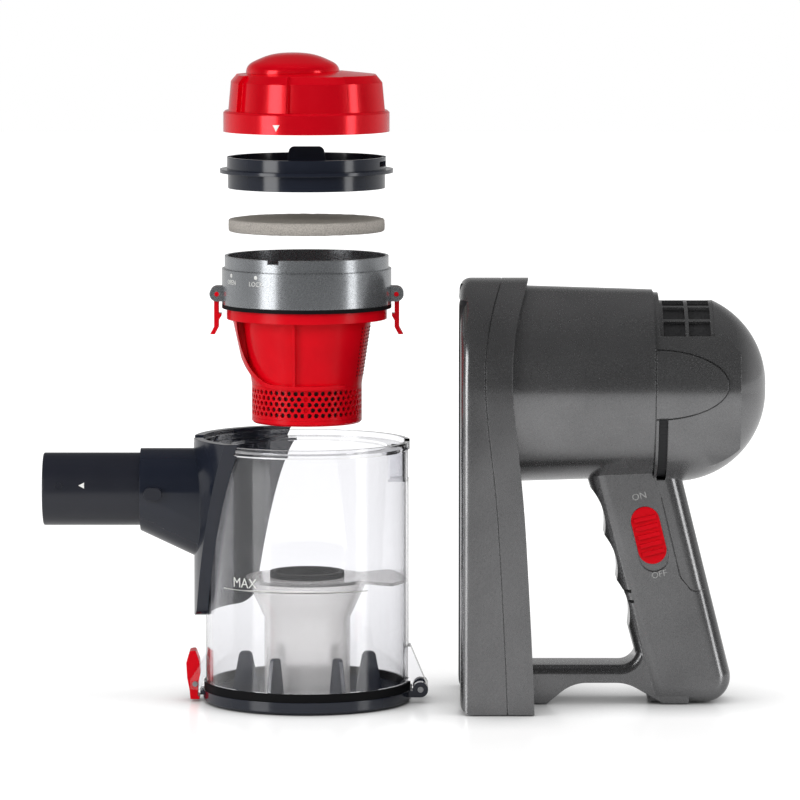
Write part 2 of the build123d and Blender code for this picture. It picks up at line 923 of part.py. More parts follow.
def fine_filter():
    """Pleated paper disc under the tray's spokes."""
    reach = tray_skirt_radius - tray_skirt_wall - run_gap
    high = tray_flange_top_z - tray_floor
    low = tray_rest_z - tray_skirt_depth + 0.6
    pitch = 2 * reach / filter_pleats
    paper = 0.7
    crest = []
    root = []
    for index in range(filter_pleats + 1):
        x = -reach + index * pitch
        crest.append((x, high - 0.4))
        root.append((x + pitch / 2, low + 1.2))
    upper = [point for pair in zip(crest, root) for point in pair][:-1]
    lower = [(x, z - 2 * paper) for x, z in reversed(upper)]
    sheet = side_prism(area(*upper, *lower), -reach, reach)
    sheet &= disc(reach - 2.0, low - 2, high + 2)
    frame = ring(reach, reach - 2.4, low, high)
    return sheet + frame


def cap_seal():
    outer = cap_bore - run_gap
    return ring(outer, outer - cap_seal_width, cap_seal_z, cap_seal_z + cap_seal_thickness)


def flute_outline(radius, turn, z):
    """Saw-tooth round outline: each flute swells outwards and ends in a step."""
    pitch = 360 / cap_flutes
    first = radius * (1 - cap_flute_step / cap_flute_radius)
    edges = []
    for index in range(cap_flutes):
        start = cap_flute_turn + turn + index * pitch
        points = []
        for share, reach in ((0, first), (0.5, (first + radius) / 2 + cap_flute_swell), (1, radius)):
            angle = radians(start + share * pitch)
            points.append((reach * cos(angle), reach * sin(angle)))
        edges.append(ThreePointArc(*points))
        angle = radians(start + pitch)
        edges.append(Line(points[2], (first * cos(angle), first * sin(angle))))
    return Pos(0, 0, z) * make_face(edges)


def cap_form():
    """Cap as a full solid: round skirt, fluted side and a crown that twists inwards."""
    low = cap_rest_z
    side = low + cap_side_height
    top = low + cap_crown_height
    skirt = disc(cap_radius, low, low + cap_skirt_height)
    skirt = chamfer(skirt.edges().group_by(Axis.Z)[-1], cap_radius - cap_flute_radius)
    sections = [
        flute_outline(cap_flute_radius, 0, low + cap_skirt_height - 1.5),
        flute_outline(cap_flute_radius - 1.6, 0, side),
        flute_outline(cap_flute_radius - 5.0, 0, top - 2.0),
        flute_outline(cap_flute_radius - 24.0, cap_crown_turn, top),
    ]
    return skirt + loft(sections, ruled=True)


def filter_cap():
    low = cap_rest_z
    cap = cap_form()
    shoulder = low + cap_shoulder
    inner = cap_bore - cap_seal_width
    hollow = area(
        (0, low - 1),
        (cap_bore, low - 1),
        (cap_bore, shoulder),
        (inner, shoulder),
        (inner - 3, low + cap_side_height - 4),
        (inner - 14, low + cap_crown_height - cap_crown_wall - 1),
        (0, low + cap_crown_height - cap_crown_wall),
    )
    cap -= turned(hollow)
    lug_low = low + lug_lift + seat_gap
    lug = ring(cap_bore + 0.5, tray_rim_radius - tray_rim_wall, lug_low, lug_low + lug_height - 2 * seat_gap)
    lug &= sector(lug_span / 2, -lug_span / 2, low, low + cap_skirt_height)
    for turn in (0, 180):
        cap += about_axis(lug, turn)
    first = cap_twist - outlet_half_angle
    last = cap_twist + outlet_half_angle
    window = sector(last, first, low + outlet_low, low + outlet_high)
    cap -= window - disc(inner - 12, low, low + 2 * cap_crown_height)
    return cap


def cap_dome():
    """Lens-shaped boss, off the cap's centre."""
    reach = cap_dome_radius
    rise = cap_dome_height
    foot = -2 * cap_dome_sink
    lens = make_face([
        Spline((0, rise), (0.8 * reach, 0.6 * rise), (reach, 0), tangents=((1, 0), (0, -1))),
        Polyline((reach, 0), (reach, foot), (0, foot), (0, rise)),
    ])
    base = cap_rest_z + cap_crown_height - cap_dome_sink
    return Pos(cap_dome_offset, 0, base) * turned(lens) - cap_form()


# Motor body


def tombstone(inset):
    """Front outline of the body: straight sides under a round head."""
    half = body_half_width - inset
    low = inset if inset else 0
    straight = area((-half, low), (half, low), (half, motor_z), (-half, motor_z))
    return straight + Pos(0, motor_z) * Circle(half)


def bowed_cut(shift):
    """Everything behind the bowed rear edge of the spine, moved along X by shift."""
    knots = [(x + shift, z) for x, z in spine_bow]
    curve = Spline(*knots)
    rear = dome_end_x + 60
    frame = Polyline(knots[-1], (rear, knots[-1][1]), (rear, knots[0][1]), knots[0])
    return side_prism(make_face([curve, frame]), -2 * body_half_width, 2 * body_half_width)


def body_block():
    """Full solid of the front slab, before it is hollowed and split."""
    slab = front_prism(tombstone(0), dock_x, spine_top_x + 20)
    front = slab.faces().sort_by(Axis.X)[0]
    return fillet(front.edges(), front_round) - bowed_cut(0)


def saddle_cut(radius):
    """Round trough that takes the cup, closed by a ceiling above the cap."""
    return disc(radius, -1, saddle_ceiling_z + (radius - saddle_radius), saddle_x)


def hinge_recess():
    """Room at the foot of the trough for the lid's hinge and the open lid."""
    deep = saddle_x + hinge_x + knuckle_radius + 3
    half = hinge_lug_width / 2 + knuckle_width + 10
    return block(saddle_x, deep, -half, half, -1, hinge_z + 27)


def bracket_notch():
    """Notch over the trough that lets the raised head's bracket pass."""
    half = clip_width / 2 + run_gap + bracket_ear + notch_side_room
    reach = saddle_x + clip_pivot_radius + bracket_radius + notch_room
    top = clip_pivot_z + bracket_radius + notch_room
    return block(saddle_x, reach, -half, half, saddle_ceiling_z - 2, top)


def body_cavity():
    space = front_prism(tombstone(shell_wall), dock_x + shell_wall, spine_top_x + 20)
    space -= bowed_cut(-shell_wall)
    space -= saddle_cut(saddle_radius + saddle_wall)
    recess = hinge_recess()
    box = recess.bounding_box()
    lining = block(
        box.min.X,
        box.max.X + shell_wall,
        box.min.Y - shell_wall,
        box.max.Y + shell_wall,
        -1,
        box.max.Z + shell_wall,
    )
    return space - lining


def screw_places():
    """Points on the screw circle, as Y and Z."""
    places = []
    for turn in (45, 135, 225, 315):
        angle = radians(turn)
        places.append((screw_circle * cos(angle), motor_z + screw_circle * sin(angle)))
    return places


def body_shells():
    """Dock shell, trough and spine shell of the front slab."""
    whole = body_block()
    cavity = body_cavity()
    hollow = whole - cavity - hinge_recess() - bracket_notch()
    trough = saddle_cut(saddle_radius + saddle_wall)
    port = block(dock_x, spine_top_x + 20, -port_half_width, port_half_width, port_low_z, port_high_z)
    saddle = (hollow & trough) - saddle_cut(saddle_radius) - port
    frame = hollow - trough
    behind = bowed_cut(-spine_seam)
    dock = frame - behind
    spine = frame & behind
    groove = behind - bowed_cut(seam_width - spine_seam)
    spine -= groove - front_prism(tombstone(seam_depth), dock_x, spine_top_x + 20)
    spine -= rod_x(shroud_eye_radius + 9, dock_x, spine_top_x + 20, motor_z)
    for y, z in screw_places():
        spine += rod_x(boss_radius, spine_waist_x, shroud_front_x, z, y)
        spine -= rod_x(screw_radius, spine_waist_x, shroud_front_x, z, y)
    spine -= rod_x(jack_radius, dock_x, spine_top_x + 20, jack_z)
    return dock, saddle, spine


def intake_snout():
    """Soft mouth round the port, level with the front of the body."""
    half = port_half_width
    face = area((-half, port_low_z), (half, port_low_z), (half, port_high_z), (-half, port_high_z))
    inner = area(
        (-half + snout_wall, port_low_z + snout_wall),
        (half - snout_wall, port_low_z + snout_wall),
        (half - snout_wall, port_high_z - snout_wall),
        (-half + snout_wall, port_high_z - snout_wall),
    )
    mouth = front_prism(face, dock_x, saddle_x + saddle_radius + saddle_wall)
    return mouth - front_prism(inner, dock_x - 1, spine_top_x + 20)


def grip_front_x(z):
    """Front line of the handle at a height."""
    slope = (grip_front_foot_x - grip_front_top_x) / grip_top_z
    return grip_front_top_x + slope * (grip_top_z - z)


def grip_solid():
    """Leaning handle with rounded flanks and finger grooves."""
    outline = area(
        (grip_front_top_x, grip_top_z),
        (grip_front_foot_x, 0),
        (grip_rear_foot_x, 0),
        (grip_rear_top_x, grip_top_z),
    )
    heel = [v for v in outline.vertices() if v.Y < 1 and v.X > grip_front_foot_x + 1]
    outline = fillet(heel, heel_round)
    grip = side_prism(outline, -grip_half_width, grip_half_width)
    rims = []
    for edge in grip.edges():
        middle = edge.center()
        if abs(abs(middle.Y) - grip_half_width) < 0.1 and 0.5 < middle.Z < grip_top_z - 0.5:
            rims.append(edge)
    grip = fillet(rims, grip_round)
    for index in range(groove_count):
        z = groove_top_z - index * groove_pitch
        x = grip_front_x(z) + groove_depth - groove_radius
        grip -= rod_y(groove_radius, -40, 40, x, z)
    for index in range(slit_count):
        z = slit_top_z - index * slit_pitch
        x = grip_front_x(z)
        for near, far in ((-grip_half_width, -slit_inner), (slit_inner, grip_half_width)):
            grip -= block(x - 5, x + slit_depth, near, far, z - slit_height / 2, z + slit_height / 2)
    return grip


def bar_solid():
    """Bar under the handle, arched on its underside, with a round inner corner."""
    outline = area(
        (spine_waist_x, 0),
        (arch_front_x, 0),
        (arch_front_x + 14, bar_crown_z),
        (arch_rear_x - 20, bar_crown_z),
        (arch_rear_x, 0),
        (arch_rear_x + 14, 0),
        (arch_rear_x + 14, bar_top_z + 30),
        (grip_front_x(bar_top_z + 30) + 5, bar_top_z + 30),
        (grip_front_x(bar_top_z), bar_top_z),
        (spine_waist_x, bar_top_z),
    )
    arch = [v for v in outline.vertices() if abs(v.Y - bar_crown_z) < 0.1]
    outline = fillet(arch, arch_round)
    crotch = [v for v in outline.vertices() if abs(v.Y - bar_top_z) < 0.1 and v.X > spine_foot_x + 10]
    outline = fillet(crotch, crotch_round)
    bar = side_prism(outline, -bar_half_width, bar_half_width)
    rims = []
    for edge in bar.edges():
        middle = edge.center()
        flank = abs(abs(middle.Y) - bar_half_width) < 0.1
        if flank and bar_top_z - 0.5 < middle.Z < bar_top_z + 0.5 and edge.length > 20:
            rims.append(edge)
    return fillet(rims, bar_round)


def tail_region(shift=0.0):
    """Everything behind the seam that splits the handle's back strip off, moved forward by shift."""
    rear = dome_end_x + 20
    lean = area(
        (drum_rear_x, grip_top_z + 60),
        (drum_rear_x, grip_top_z - 6),
        (tail_top_x - shift, tail_top_z),
        (tail_mid_x - shift, tail_mid_z),
        (tail_mid_x + 6, tail_foot_z - shift),
        (rear, tail_foot_z - shift),
        (rear, grip_top_z + 60),
    )
    lean = fillet([v for v in lean.vertices() if v.Y < tail_top_z + 1 and v.X < rear - 1], tail_round)
    return side_prism(lean, -2 * body_half_width, 2 * body_half_width)


def drum_solid(inset, front, rear):
    """Tapered barrel round the motor."""
    face = area(
        (front, 0),
        (front, drum_front_radius - inset),
        (rear, drum_rear_radius - inset),
        (rear, 0),
    )
    return turned_x(face)


def rear_solid(inset):
    """Round end of the body as a full solid."""
    radius = dome_radius - inset
    top = make_face([
        Line((drum_rear_x, 0), (drum_rear_x, radius)),
        Line((drum_rear_x, radius), (dome_x, radius)),
        CenterArc((dome_x, 0), radius, 90, -90),
        Line((dome_x + radius, 0), (drum_rear_x, 0)),
    ])
    return turned_x(top)


def tongue_prism(grow):
    """Side view of the raised tongues, grown by a margin, through both flanks."""
    middle = (tongue_low_z + tongue_high_z) / 2
    half = (tongue_high_z - tongue_low_z) / 2
    outline = Pos(drum_rear_x, middle) * Ellipse(tongue_tip_x - drum_rear_x + grow, half + grow)
    return side_prism(outline, -2 * body_half_width, 2 * body_half_width)


def tongue_skin(outer, inner):
    """Round sleeve over the rear cover's flanks, from the drum to just past the tongues' tips."""
    end = tongue_tip_x + 2
    return rod_x(outer, drum_rear_x, end, motor_z) - rod_x(inner, drum_rear_x - 1, end + 1, motor_z)


def tongue_solid():
    """Raised tongues on both flanks."""
    return tongue_prism(0) & tongue_skin(dome_radius + tongue_proud, dome_radius - shell_wall)


def tongue_groove():
    """Fine groove that sets the tongues off from the cover."""
    edge = tongue_prism(seam_width) - tongue_prism(0)
    return edge & tongue_skin(dome_radius + tongue_proud + 1, dome_radius - seam_depth)


def drum_seam():
    """Fine groove round the drum where the rear cover meets it."""
    front = drum_rear_x - seam_width
    skin = rod_x(drum_rear_radius + 1, front, drum_rear_x, motor_z)
    return skin - rod_x(drum_rear_radius - seam_depth, front - 1, drum_rear_x + 1, motor_z)


def belly_solid():
    """Fuller underside of the round end."""
    return Pos(0, 0, -belly_drop) * rear_solid(0)


def grille_patch(outer, inner, front, rear, margin):
    """Curved patch over the top of the round end, wider by margin degrees on each side."""
    half = radians(grille_half_angle + margin)
    reach = 3 * dome_radius
    wedge = area(
        (0, motor_z),
        (reach * sin(half), motor_z + reach * cos(half)),
        (0, motor_z + reach),
        (-reach * sin(half), motor_z + reach * cos(half)),
    )
    sleeve = rod_x(outer, front, rear, motor_z) - rod_x(inner, front - 1, rear + 1, motor_z)
    return sleeve & front_prism(wedge, front, rear)


def switch_slot(length, width, near, far):
    """Rounded bar in the line of the handle, between two depths."""
    slot = Pos(switch_x, switch_z) * Rot(0, 0, 90 + grip_lean) * SlotOverall(length, width)
    return side_prism(slot, near, far)


def switch_pocket():
    """Slot in the near flank, longer than the slider by its travel."""
    shift = switch_travel / 2
    lean = radians(grip_lean)
    place = Pos(shift * sin(lean), 0, -shift * cos(lean))
    length = switch_length + switch_travel + 2 * run_gap
    half = grip_half_width
    return place * switch_slot(length, switch_width + 2 * run_gap, -half - 5, -half + 2)


def handle_shell():
    """Drum and handle loop in one piece, hollow, before the back strip is split off."""
    grip = grip_solid() + bar_solid()
    front = front_prism(tombstone(0), dock_x, spine_top_x + 20) - bowed_cut(0)
    shell = drum_solid(0, spine_waist_x - 14, drum_rear_x) + grip - front
    shell -= drum_solid(shell_wall, spine_waist_x - 14, drum_rear_x + 1)
    core = side_prism(grip_core(), -grip_half_width + 3, grip_half_width - 3)
    return shell - core - switch_pocket() - drum_seam()


def grip_core():
    """Hollow of the handle, set in from its outline."""
    wall = 6.0
    return area(
        (grip_front_top_x + wall + 3, grip_top_z),
        (grip_rear_top_x - wall - 4, grip_top_z),
        (grip_rear_foot_x - wall - 14, bar_top_z + 20),
        (grip_front_foot_x + wall + 2, bar_top_z + 20),
    )


def motor_housing(shell):
    """Drum and handle in front of the seam, with a groove along it on both flanks."""
    flanks = grip_half_width - seam_depth
    groove = tail_region(seam_width) - block(0, 2 * dome_end_x, -flanks, flanks, -1, crown_z)
    return shell - tail_region() - (groove & block(0, 2 * dome_end_x, -60, 60, 0, tail_top_z)) - belly_solid()


def cheek_outline(inset):
    """Side view of the flat-ended flanks of the rear cover, round at the foot."""
    low = motor_z - cheek_round + inset
    high = motor_z + cheek_rise - inset
    rear = dome_step_x - inset
    flank = area((drum_rear_x, low), (rear, low), (rear, high - 10), (rear - 8, high), (drum_rear_x, high))
    foot = Pos(dome_x, motor_z) * Circle(cheek_round - inset)
    upper = area((drum_rear_x, motor_z), (rear, motor_z), (rear, high), (drum_rear_x, high))
    lower = area((drum_rear_x, low), (dome_x, low), (dome_x, high), (drum_rear_x, high))
    return flank & (foot + upper + lower)


def cheek_solid(inset):
    reach = dome_radius - inset
    flank = side_prism(cheek_outline(inset), -reach, reach)
    return flank & rod_x(reach, drum_rear_x, dome_step_x, motor_z)


def rear_cover(shell):
    outer = rear_solid(0) + cheek_solid(0) + belly_solid() + tongue_solid()
    inner = rear_solid(shell_wall) + cheek_solid(shell_wall)
    under = grille_radius - grille_wall
    frame = grille_patch(dome_radius + 5, under, drum_rear_x, grille_rear_x + shell_wall, 3)
    cover = outer - (inner - frame)
    cover -= grille_patch(dome_radius + 9, 5, grille_front_x, grille_rear_x, 0)
    tail = (shell & tail_region()) - rear_solid(0) - belly_solid()
    cover += tail
    vent = block(side_vent_front, side_vent_rear, -70, 70, side_vent_low_z, side_vent_high_z)
    floor = rod_x(dome_radius - side_vent_depth, drum_rear_x - 5, dome_end_x, motor_z)
    cover -= vent - floor - Pos(0, 0, -belly_drop) * floor
    return cover - tongue_groove()


def exhaust_grille():
    """Curved grille with columns of slots."""
    plate = grille_patch(grille_radius, grille_radius - grille_wall, grille_front_x, grille_rear_x, 0)
    width = (grille_rear_x - grille_front_x - (grille_columns + 1) * grille_bar) / grille_columns
    pitch = 2 * grille_half_angle / grille_rows
    slots = []
    for column in range(grille_columns):
        front = grille_front_x + grille_bar + column * (width + grille_bar)
        for row in range(grille_rows):
            turn = (row + 0.5) * pitch - grille_half_angle
            half = grille_radius * radians(pitch) / 2 - grille_bar / 2
            slot = block(front, front + width, -half, half, grille_radius - 8, grille_radius + 8)
            slots.append(Pos(0, 0, motor_z) * Rot(turn, 0, 0) * slot)
    return plate - slots


def exhaust_foam():
    outer = grille_radius - grille_wall
    return grille_patch(outer, outer - foam_ring_thickness, grille_front_x, grille_rear_x, -2)


def power_slider():
    half = grip_half_width
    floor = -half + 2 - pin_gap
    pad = switch_slot(switch_length, switch_width, -half - 0.6, floor)
    lean = Rot(0, grip_lean * -1, 0)
    ribs = []
    side = switch_width / 2 - 1.6
    pitch = (switch_length - 8) / switch_ribs
    for index in range(switch_ribs):
        rise = (index - (switch_ribs - 1) / 2) * pitch
        rib = block(-side, side, -half - switch_proud, -half, rise - 1.2, rise + 1.2)
        ribs.append(Pos(switch_x, 0, switch_z) * lean * rib)
    for rib in ribs:
        pad += rib
    return pad


def switch_block():
    half = switch_block_size / 2
    return block(switch_x - half, switch_x + half, -grip_half_width + 3, -2, switch_z - 10, switch_z + 10)


# Motor, battery and electronics


def fan_shroud():
    """Bulkhead with the air eye, and a sleeve round the impeller."""
    front = shroud_front_x
    bore = drum_solid(shell_wall, spine_waist_x - 14, drum_rear_x)
    wall = bore & block(front, front + 2, -70, 70, 0, crown_z)
    wall -= rod_x(shroud_eye_radius, front - 1, front + 3, motor_z)
    sleeve = rod_x(shroud_radius, front, front + shroud_length, motor_z)
    sleeve -= rod_x(shroud_radius - shroud_wall, front - 1, front + shroud_length + 1, motor_z)
    shroud = wall + sleeve
    for y, z in screw_places():
        shroud -= rod_x(screw_radius, front - 1, front + 3, z, y)
    return shroud


def housing_screws():
    screws = []
    head_x = shroud_front_x + 2
    for y, z in screw_places():
        screw = rod_x(screw_radius, spine_waist_x + 3, head_x + 0.5, z, y)
        screws.append(screw + rod_x(screw_head_radius, head_x, head_x + screw_head_height, z, y))
    return Compound(children=screws)


def motor_can():
    can = rod_x(motor_radius, motor_front_x, motor_rear_x, motor_z)
    front = motor_front_x + bearing_width
    can -= rod_x(motor_radius - motor_wall, front, motor_rear_x - bearing_width, motor_z)
    return can - rod_x(bearing_radius, motor_front_x - 1, motor_rear_x + 1, motor_z)


def motor_stator():
    """Iron ring with inward teeth."""
    outer = motor_radius - motor_wall
    stator = rod_x(outer, core_front_x, core_rear_x, motor_z)
    stator -= rod_x(outer - 3, core_front_x - 1, core_rear_x + 1, motor_z)
    bore = rod_x(rotor_radius + stator_gap, core_front_x - 1, core_rear_x + 1, motor_z)
    for index in range(stator_teeth):
        tooth = block(core_front_x, core_rear_x, -4.5, 4.5, 5, outer - 2)
        stator += Pos(0, 0, motor_z) * Rot(index * 360 / stator_teeth, 0, 0) * tooth - bore
    return stator


def motor_bearings():
    bearings = []
    for front in (motor_front_x, motor_rear_x - bearing_width):
        sleeve = rod_x(bearing_radius, front, front + bearing_width, motor_z)
        bearings.append(sleeve - rod_x(shaft_radius + pin_gap, front - 1, front + bearing_width + 1, motor_z))
    return Compound(children=bearings)


def motor_mounts():
    """Two soft rings that centre the motor and let the air past."""
    rings = []
    for front in (mount_front_x, mount_rear_x):
        rear = front + mount_width
        soft = drum_solid(shell_wall, spine_waist_x - 14, drum_rear_x)
        soft &= block(front, rear, -70, 70, 0, crown_z)
        soft -= rod_x(motor_radius, front - 1, rear + 1, motor_z)
        middle = (motor_radius + drum_rear_radius - shell_wall) / 2
        for index in range(mount_holes):
            angle = 2 * pi * (index + 0.5) / mount_holes
            y, z = middle * cos(angle), motor_z + middle * sin(angle)
            hole = rod_x(mount_hole_radius, front - 1, rear + 1, z, y)
            soft -= hole
        rings.append(soft)
    return Compound(children=rings)


def rotor_shaft():
    return rod_x(shaft_radius, shaft_front_x, shaft_rear_x, motor_z)


def rotor_core():
    core = rod_x(rotor_radius, core_front_x, core_rear_x, motor_z)
    return core - rod_x(shaft_radius, core_front_x - 1, core_rear_x + 1, motor_z)


def impeller():
    """Back disc with a hub and leaning blades."""
    front = impeller_front_x
    rear = front + impeller_width
    wheel = rod_x(impeller_radius, rear - impeller_disc, rear, motor_z)
    wheel += rod_x(impeller_hub_radius, front, rear, motor_z)
    for index in range(impeller_blades):
        root = impeller_hub_radius
        blade = block(front, rear - impeller_disc / 2, -0.8, 0.8, root + 1, impeller_radius - 2)
        blade = Pos(0, 0, root) * Rot(blade_lean, 0, 0) * Pos(0, 0, -root) * blade
        blade = Pos(0, 0, motor_z) * Rot(index * 360 / impeller_blades, 0, 0) * blade
        wheel += blade & rod_x(impeller_radius, front, rear, motor_z)
    return wheel - rod_x(shaft_radius, front - 1, rear + 1, motor_z)


def cell_stack():
    """Floors of the stacked cells and the height above the last one."""
    first = shell_wall + cell_cap_height
    second = first + cell_length + cell_gap
    return (first, second), second + cell_length


def battery_cells():
    cells = []
    floors, _ = cell_stack()
    for y in (-cell_y, cell_y):
        for floor in floors:
            cell = disc(cell_radius, floor, floor + cell_length - 1, cell_x, y)
            cells.append(cell + disc(3, floor, floor + cell_length, cell_x, y))
    return Compound(children=cells)


def battery_frame():
    """Caps under, between and over the cells."""
    caps = []
    floors, top = cell_stack()
    for y in (-cell_y, cell_y):
        caps.append(disc(cell_radius, shell_wall, floors[0], cell_x, y))
        caps.append(disc(cell_radius, floors[1] - cell_gap, floors[1], cell_x, y))
        caps.append(disc(cell_radius, top, top + cell_cap_height, cell_x, y))
    return Compound(children=caps)


def control_board():
    """Board on four posts that stand on the trough's back."""
    front = saddle_x + saddle_radius + saddle_wall + board_stand
    half = board_width / 2
    high = board_low_z + board_height
    board = block(front, front + board_thickness, -half, half, board_low_z, high)
    for y in (-half + 4, half - 4):
        for z in (board_low_z + 4, high - 4):
            board += rod_x(2, dock_x, front + 0.5, z, y) - saddle_cut(saddle_radius + saddle_wall)
    return board


def charge_socket():
    """Round socket let into the spine, flush with its bowed back."""
    rear = spine_foot_x
    socket = rod_x(jack_radius, rear - jack_length - 2, rear + 5, jack_z) - bowed_cut(0)
    socket -= rod_x(jack_mouth, rear - jack_length, rear + 6, jack_z)
    return socket + rod_x(jack_pin, rear - jack_length - 1, rear - 4, jack_z)


def main():
    os.makedirs("parts", exist_ok=True)
    save("dust_cup", dust_cup())
    save("hinge_pin", hinge_pin())
    save("latch_pin", latch_pin())
    save("dust_funnel", dust_funnel())
    save("funnel_seal", funnel_seal())
    save("bottom_lid", bottom_lid())
    save("lid_seal", lid_seal())
    save("lid_latch", lid_latch())
    save("inlet_duct", inlet_duct())
    save("inlet_tube", inlet_tube())
    save("tube_button", tube_button())
    save("head_ring", head_ring())
    save("clip_brackets", clip_brackets())
    save("clip_pins", clip_pins())
    save("head_seal", head_seal())
    save("cyclone_cone", cyclone_cone())
    save("cone_mesh", cone_mesh())
    save("clip_right", clip(0))
    save("clip_left", clip(180))
    save("foam_disc", foam_disc())
    save("filter_tray", filter_tray())
    save("fine_filter", fine_filter())
    save("cap_seal", cap_seal())
    save("filter_cap", filter_cap())
    save("cap_dome", cap_dome())
    dock, saddle, spine = body_shells()
    save("dock_shell", dock)
    save("dock_saddle", saddle)
    save("spine_shell", spine)
    save("intake_snout", intake_snout())
    shell = handle_shell()
    save("motor_housing", motor_housing(shell))
    save("rear_cover", rear_cover(shell))
    save("exhaust_grille", exhaust_grille())
    save("exhaust_foam", exhaust_foam())
    save("power_slider", power_slider())
    save("switch_block", switch_block())
    save("fan_shroud", fan_shroud())
    save("housing_screws", housing_screws())
    save("motor_can", motor_can())
    save("motor_stator", motor_stator())
    save("motor_bearings", motor_bearings())
    save("motor_mounts", motor_mounts())
    save("rotor_shaft", rotor_shaft())
    save("rotor_core", rotor_core())
    save("impeller", impeller())
    save("battery_cells", battery_cells())
    save("battery_frame", battery_frame())
    save("control_board", control_board())
    save("charge_socket", charge_socket())


main()
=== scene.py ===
# %% [markdown]
# # A handheld vacuum, opened for cleaning
# The solids come in as a fixed frame: clear dust cup, raised filter stack and motor body. This lesson
# gives each of them a finish and adds the small things that the solids leave out: prints and marks, the
# uneven faces of the two foams, fine dimples on the cone, and dark films of painted shade inside the
# cone's sleeve and on the floor of the side vents. Nothing of the frame is moved.

# %% Load the frame
from math import asin, cos, pi, radians, sin

import bmesh
import bpy
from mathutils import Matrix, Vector, noise


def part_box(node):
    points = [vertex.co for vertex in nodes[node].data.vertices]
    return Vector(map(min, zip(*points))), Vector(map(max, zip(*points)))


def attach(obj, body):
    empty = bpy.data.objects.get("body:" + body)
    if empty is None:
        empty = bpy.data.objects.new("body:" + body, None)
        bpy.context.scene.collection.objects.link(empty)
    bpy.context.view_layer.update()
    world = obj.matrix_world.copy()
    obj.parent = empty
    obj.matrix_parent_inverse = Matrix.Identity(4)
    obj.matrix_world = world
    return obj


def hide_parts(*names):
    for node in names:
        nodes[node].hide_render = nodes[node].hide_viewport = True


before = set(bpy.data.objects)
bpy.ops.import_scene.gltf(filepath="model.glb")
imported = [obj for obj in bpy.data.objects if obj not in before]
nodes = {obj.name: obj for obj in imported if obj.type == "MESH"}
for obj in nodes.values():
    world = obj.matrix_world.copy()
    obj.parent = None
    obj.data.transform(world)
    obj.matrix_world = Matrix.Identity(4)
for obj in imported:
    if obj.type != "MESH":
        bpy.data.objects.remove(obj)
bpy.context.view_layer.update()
MM = 0.001

# %% [markdown]
# ## Helpers for materials
# Colours are written as sRGB hex codes, as a paint chart gives them, and Blender's shaders want linear
# light, so one function turns one into the other. Another adds a node with its settings, its fixed
# values and its links in one call, which keeps each material to a few lines. Every pattern is laid out
# in Object coordinates, so that it stays on its piece when the piece moves.

# %% Colour and node helpers
def linear(code, share=1.0):
    """sRGB hex code to linear red, green, blue and alpha, made darker or lighter by a share."""
    parts = [int(code[i:i + 2], 16) / 255 for i in (1, 3, 5)]
    light = [c / 12.92 if c <= 0.04045 else ((c + 0.055) / 1.055) ** 2.4 for c in parts]
    return tuple(share * c for c in light) + (1.0,)


def give(node, values):
    """Sets fixed values on the named inputs of a node."""
    for key, value in values.items():
        node.inputs[key].default_value = value


def feed(tree, node, links):
    """Joins sockets to the named inputs of a node."""
    for key, socket in links.items():
        tree.links.new(socket, node.inputs[key])


def add(tree, kind, values=None, links=None, **settings):
    """A node with its settings, its fixed input values and the sockets that feed it."""
    node = tree.nodes.new(kind)
    for key, value in settings.items():
        setattr(node, key, value)
    give(node, values or {})
    feed(tree, node, links or {})
    return node


def finish_named(name):
    """A new material with its tree, its Principled shader and the link that places a texture."""
    material = bpy.data.materials.new(name)
    material.use_nodes = True
    tree = material.node_tree
    where = {"Vector": add(tree, "ShaderNodeTexCoord").outputs["Object"]}
    return material, tree, tree.nodes["Principled BSDF"], where


def per_mm(size):
    """Texture scale, in Object coordinates of metres, for a feature of that many millimetres."""
    return 1000.0 / size


print("pure red is", [round(c, 3) for c in linear("#FF0000")])

# %% [markdown]
# ## Clear polycarbonate
# The cup is moulded in clear polycarbonate. Its refractive index is about 1.58; 1.5 is set, which
# mirrors a little less of the room. Real walls are in the solids, so full transmission bends the light
# as the real cup does. A slow drift in roughness is the faint haze that a moulded wall has. The cup
# casts no shadow, as a clear wall hardly does.

# %% Clear polycarbonate
def see_through(name, colour, haze_mm, detail, rough, transmission, ior):
    """A moulded wall that lets light through, with a slow drift in its haze."""
    material, tree, shader, where = finish_named(name)
    drift = add(tree, "ShaderNodeTexNoise", {"Scale": per_mm(haze_mm), "Detail": detail}, where)
    haze = add(tree, "ShaderNodeMapRange", {"To Min": rough[0], "To Max": rough[1]},
               {"Value": drift.outputs["Fac"]})
    feed(tree, shader, {"Roughness": haze.outputs["Result"]})
    give(shader, {"Base Color": linear(colour), "Transmission Weight": transmission, "IOR": ior})
    return material


clear = see_through("clear_polycarbonate_moulded", "#F2F2F4", haze_mm=30, detail=2.0,
                    rough=(0.0, 0.06), transmission=1.0, ior=1.5)
nodes["dust_cup"].visible_shadow = False
print("clear finish:", clear.name)

# %% [markdown]
# ## Frosted polycarbonate
# The funnel inside the cup is the same plastic from a textured tool, so it looks milky. Most of the
# light is bent through a rough surface and the rest is scattered back. Volume scatter would be truer
# and far slower. The funnel casts no shadow either.

# %% Frosted polycarbonate
frosted = see_through("frosted_polycarbonate_moulded", "#F6F5F4", haze_mm=12, detail=3.0,
                      rough=(0.12, 0.24), transmission=0.82, ior=1.4)
nodes["dust_funnel"].visible_shadow = False
print("frosted finish:", frosted.name)

# %% [markdown]
# ## Dark mouldings
# The inlet tube and its button are ABS moulded in a spark-eroded tool, which leaves a fine even grain
# and a satin gloss. The duct, the tray and the lid come from a polished tool. The trough of the dock and
# the inner frames are glass-filled nylon, which is matt. The real grain is about 0.1 mm; it is drawn at
# 0.5 mm, the finest that shows in the render.

